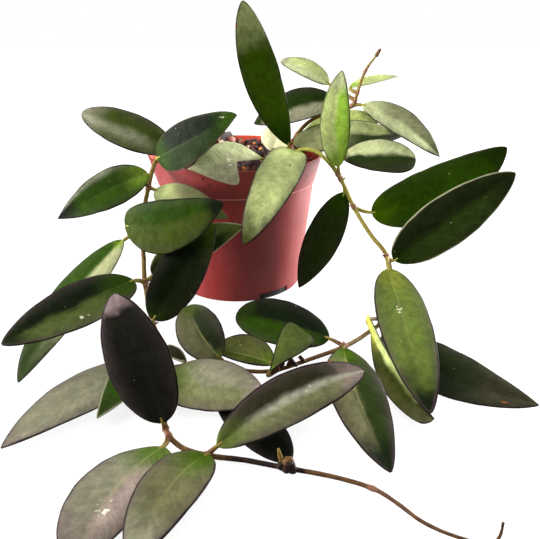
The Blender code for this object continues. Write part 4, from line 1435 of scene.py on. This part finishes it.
def outline(share, half, start):
    """Half of the blade's width at a share of its length. This half may start some way along the midrib."""
    width, blunt, point = three(half)
    share = compute("MAXIMUM", (share - start) / (1.0 - start), 0.0)
    peak = blunt / (blunt + point)
    highest = peak**blunt * (1.0 - peak) ** point
    return width * share**blunt * (1.0 - share) ** point / highest


def blade_tree():
    """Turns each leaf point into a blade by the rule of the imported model, with finer form added."""
    inputs = {
        "Leaves": ("Geometry", None),
        "Rows": ("Int", 44),
        "Around": ("Int", 40),
        **floats(Thickness=1.1, Groove=0.28, Wave=0.7, Pucker=0.25, Curl=0.07, Ripple=0.04),
        "Finish": ("Material", None),
    }
    tree, wires, end = new_tree("hoya blades", "GeometryNodeTree", inputs, {"Blades": "Geometry"})
    blank = blank_blade(tree, wires["Rows"], wires["Around"])
    blades = put(tree, "GeometryNodeInstanceOnPoints", {"Points": wires["Leaves"], "Instance": blank})
    blades = step(blades, "RealizeInstances")

    def vector(name):
        return named(tree, name, "FLOAT_VECTOR")

    even = named(tree, "share")
    eased = even * 0.65 + (0.5 - compute("COSINE", even * math.pi) * 0.5) * 0.35
    share = BLADE_END + eased * (1.0 - 2 * BLADE_END)
    turn = named(tree, "turn")
    side = compute("COSINE", turn)
    lift = compute("SINE", turn)
    arch, bend, seed = three(vector("leaf_curve"))
    left_start, left_fold, _ = three(vector("left_fold"))
    right_start, right_fold, _ = three(vector("right_fold"))

    base = vector("leaf_base")
    span = vector("leaf_tip") - base
    length = compute("LENGTH", span)
    axis = compute("NORMALIZE", span)
    face = vector("leaf_face")
    face = compute("NORMALIZE", face - axis * (face @ axis))
    sideways = compute("CROSS_PRODUCT", axis, face)
    rise = share * (1.0 - share) * 4.0
    slope = (1.0 - share * 2.0) * 4.0
    middle = base + axis * (length * share) + face * (arch * rise) + sideways * (bend * rise)
    along = compute("NORMALIZE", axis * length + face * (arch * slope) + sideways * (bend * slope))
    up = compute("NORMALIZE", face - along * (face @ along))
    across = compute("CROSS_PRODUCT", along, up)

    def uneven(kind, across):
        often_along, often_across, start = kind
        sockets = {"X": share * often_along, "Y": across * often_across + start, "Z": seed}
        return (noise_of(put(tree, "ShaderNodeCombineXYZ", sockets), 1.0, 1.0) - 0.5) * 2.0

    right = smooth(side, -0.02, 0.02)
    left_reach = outline(share, vector("left_half"), left_start)
    right_reach = outline(share, vector("right_half"), right_start)
    reach = left_reach + (right_reach - left_reach) * right
    reach = reach * (1.0 + uneven(RIPPLES, compute("SIGN", side)) * wires["Ripple"])
    reach = compute("MAXIMUM", reach, LEAST_HALF)
    away = abs(side)
    soft_away = compute("SQRT", side * side + SOFT_FOLD**2)
    fold = (left_fold + (right_fold - left_fold) * right) * (math.pi / 180)
    sine, cosine = compute("SINE", fold), compute("COSINE", fold)
    height = (soft_away - SOFT_FOLD) * reach * sine
    height = height - away**3.0 * reach * wires["Curl"]
    broad = compute("MINIMUM", reach * 0.08, 1.0)
    height = height + uneven(WAVES, side) * wires["Wave"] * side * side * broad
    height = height + uneven(PUCKERS, side) * wires["Pucker"] * broad
    surface = middle + across * (side * reach * cosine) + up * height
    normal = compute("NORMALIZE", up * cosine - across * (sine * side / soft_away))

    body = compute("SIGN", lift) * abs(lift) ** 0.6 * (wires["Thickness"] * 0.5)
    body = body * (1.0 - share**8.0 * 0.5)
    near_rib = compute("EXPONENT", (side * reach / 0.9) ** 2.0 * -1.0) * (1.0 - share)
    body = body - near_rib * wires["Groove"] * abs(lift)
    corner = surface + normal * body
    x, y, z = three(corner)
    z = compute("MAXIMUM", z, LOWEST + lift * 0.35)
    corner = put(tree, "ShaderNodeCombineXYZ", {"X": x, "Y": y, "Z": z})

    blades = keep(blades, "share_along", share)
    blades = keep(blades, "side", side)
    blades = keep(blades, "edge", reach * (1.0 - away))
    blades = keep(blades, "upper", smooth(lift, -0.1, 0.1))
    blades = step(step(blades, "SetPosition", {"Position": corner * MM}), "SetShadeSmooth")
    feed(tree, end.inputs["Blades"], step(blades, "SetMaterial", {"Material": wires["Finish"]}))
    return tree


BLADE_TREE = blade_tree()
print("blade tree with", len(BLADE_TREE.nodes), "nodes")

# %% [markdown]
# ## The leaf's finish
#
# A rosita hoya's leaf looks like stained leather. It is fresh green at the base and along the midrib, deep
# green or grey over the halves, and purple-black along the very edge, with a grey bloom that catches the
# light. The halves' tones also hold painted sheen and painted shade, the border's darkening is partly painted
# shade, a pale streak on some leaves is painted sheen with some bloom, and a pale edge line is a painted
# glint. The finish reads the values that the blade tree stored: how far along the leaf a point is, on which
# side, and how many millimetres from the edge. That way one finish colours every leaf, and its marks follow
# each blade.

# %% Leaf finish
def leaf_finish():
    """Leathery green with a fresh base, a pale midrib, a grey bloom, a purple edge, and painted shade, sheen
    and glints.
    """
    look, tree, shader, place = new_finish("hoya leaf")
    share = attribute(tree, "share_along")
    side = attribute(tree, "side")
    edge = attribute(tree, "edge")
    upper = attribute(tree, "upper")
    dust, stripe, rim = three(attribute(tree, "marks", "Vector"))
    base_reach, tip_reach, seed = three(attribute(tree, "reaches", "Vector"))
    away = abs(side)
    broad = noise_of(place, 70.0, 3.0, 0.55)
    bloom = cloud_mask(place, 90.0, 0.2)
    # Streaks run from the midrib out to the edge and a little forwards, as the side veins do.
    run = share * 13.0 - away * 2.2 + (broad - 0.5) * 2.0
    vein_place = put(tree, "ShaderNodeCombineXYZ", {"X": run, "Y": side * 0.8, "Z": seed})
    streaks = noise_of(vein_place, 2.2, 5.0, 0.62) * 0.45
    mottle = smooth(streaks + noise_of(place, 210.0, 4.0, 0.62) * 0.55, 0.36, 0.64)

    # The two halves, and then the tip and the base. The halves' tones hold painted sheen and painted shade as
    # well as colour.
    half = smooth(side + (broad - 0.5) * 0.6, -0.2, 0.2)
    tip = smooth(share + (broad - 0.5) * 0.3, 1.0 - tip_reach, 1.0 - tip_reach * 0.2)
    tip = tip * compute("GREATER_THAN", tip_reach, 0.01)
    base = smooth(share + away * 0.08 + (broad - 0.5) * 0.15, base_reach, base_reach * 0.3) * 0.9
    colour = attribute(tree, "tone_left", "Color")
    for tone, mask in (("tone_right", half), ("tone_tip", tip), ("tone_base", base)):
        colour = over(colour, attribute(tree, tone, "Color"), mask)
    colour = over(colour * 0.78, colour * 1.22, mottle) * (0.84 + noise_of(place, 1100.0, 3.0, 0.6) * 0.32)

    # The dark border, partly purple and partly painted shade, the veins, the midrib, a pale streak of painted
    # sheen and grey bloom, and the dust.
    outer = smooth(away + (broad - 0.5) * 0.3, 0.4, 1.0) * smooth(share, 0.0, 0.15)
    colour = layered(colour, ((62, 50, 50), outer * rim * 0.45))
    vein = smooth(abs(compute("FRACT", run * 0.7) - 0.5), 0.09, 0.0)
    wrinkle = smooth(abs(noise_of(place, 150.0, 3.0, 0.6) - 0.5), 0.022, 0.0)
    colour = over(colour, colour * 1.3 + (0.008, 0.012, 0.002), vein * bloom * 0.12 + wrinkle * 0.4)
    rib = smooth(abs(side + (broad - 0.5) * 0.03), 0.075, 0.01) * smooth(share, 0.95, 0.35)
    # The band: a pale streak of painted sheen, with some grey bloom.
    band_side, band_width, band = three(attribute(tree, "band", "Vector"))
    sheen_and_bloom_streak = smooth(abs(side - band_side + (broad - 0.5) * 0.4), band_width, 0.0)
    sheen_and_bloom_streak = sheen_and_bloom_streak * band * (mottle * 0.5 + 0.5) * smooth(share, 0.1, 0.4)

    # The edge itself: a soft purple rim inside, and a thin line, dark purple on some leaves and a pale
    # painted glint on others.
    inner_edge = smooth(edge + (mottle - 0.5) * 1.2, 2.0, 0.4) * smooth(share, 0.0, 0.1)
    line = smooth(edge + (bloom - 0.5) * 0.4, 1.1, 0.35) * smooth(share, 0.02, 0.12)

    def spot(name, softness):
        centre, over_side, size = three(attribute(tree, name, "Vector"))
        far = ((share - centre) ** 2.0 + ((side - over_side) * 0.22) ** 2.0) ** 0.5
        far = far + (noise_of(place, 700.0, 3.0, 0.7) - 0.5) * softness
        return smooth(far, size, size * 0.6) * compute("GREATER_THAN", size, 0.001)

    sap = spot("fleck", 0.06) * smooth(noise_of(place, 520.0, 2.0), 0.57, 0.63)
    specks = speck_mask(place, 330.0, 0.1, 0.07)
    colour = layered(
        colour,
        ((158, 162, 100), rib * stripe * 0.55),
        ((184, 182, 158), sheen_and_bloom_streak),
        ((150, 146, 126), (bloom * 0.08 + outer * 0.12) * dust),
        ((104, 80, 88), inner_edge * smooth(rim, 0.5, 1.0) * 0.35),
        ((24, 14, 18), line * smooth(rim, 0.15, 0.5) * 0.95),
        # The pale edge line is a painted glint.
        ((186, 184, 150), line * smooth(rim, 0.35, 0.15) * 0.6),
        ((128, 72, 46), spot("scar", 0.05)),
        ((230, 222, 200), sap * 0.9),
        ((196, 196, 170), specks * 0.5),
    )
    under = layered(colour, ((120, 134, 74), mottle * 0.2 + 0.15))
    grain = effect(RELIEF, place, 240.0, 1500.0, 0.3) + vein * 0.05 - specks * 0.15
    complete(shader, 0.0006, grain, {
        "Base Color": over(under, colour, upper),
        "Roughness": 0.46 + bloom * 0.1 + dust * 0.08 + sap * 0.3,
        "IOR": 1.2,
        "Specular IOR Level": 0.2,
    })
    return look


leaf_look = leaf_finish()
for name in STEMS:
    leaves = grow(f"{name}_leaves", leaf_points(name), BLADE_TREE, {"Finish": leaf_look})
    place_piece(leaves, "foliage", name)
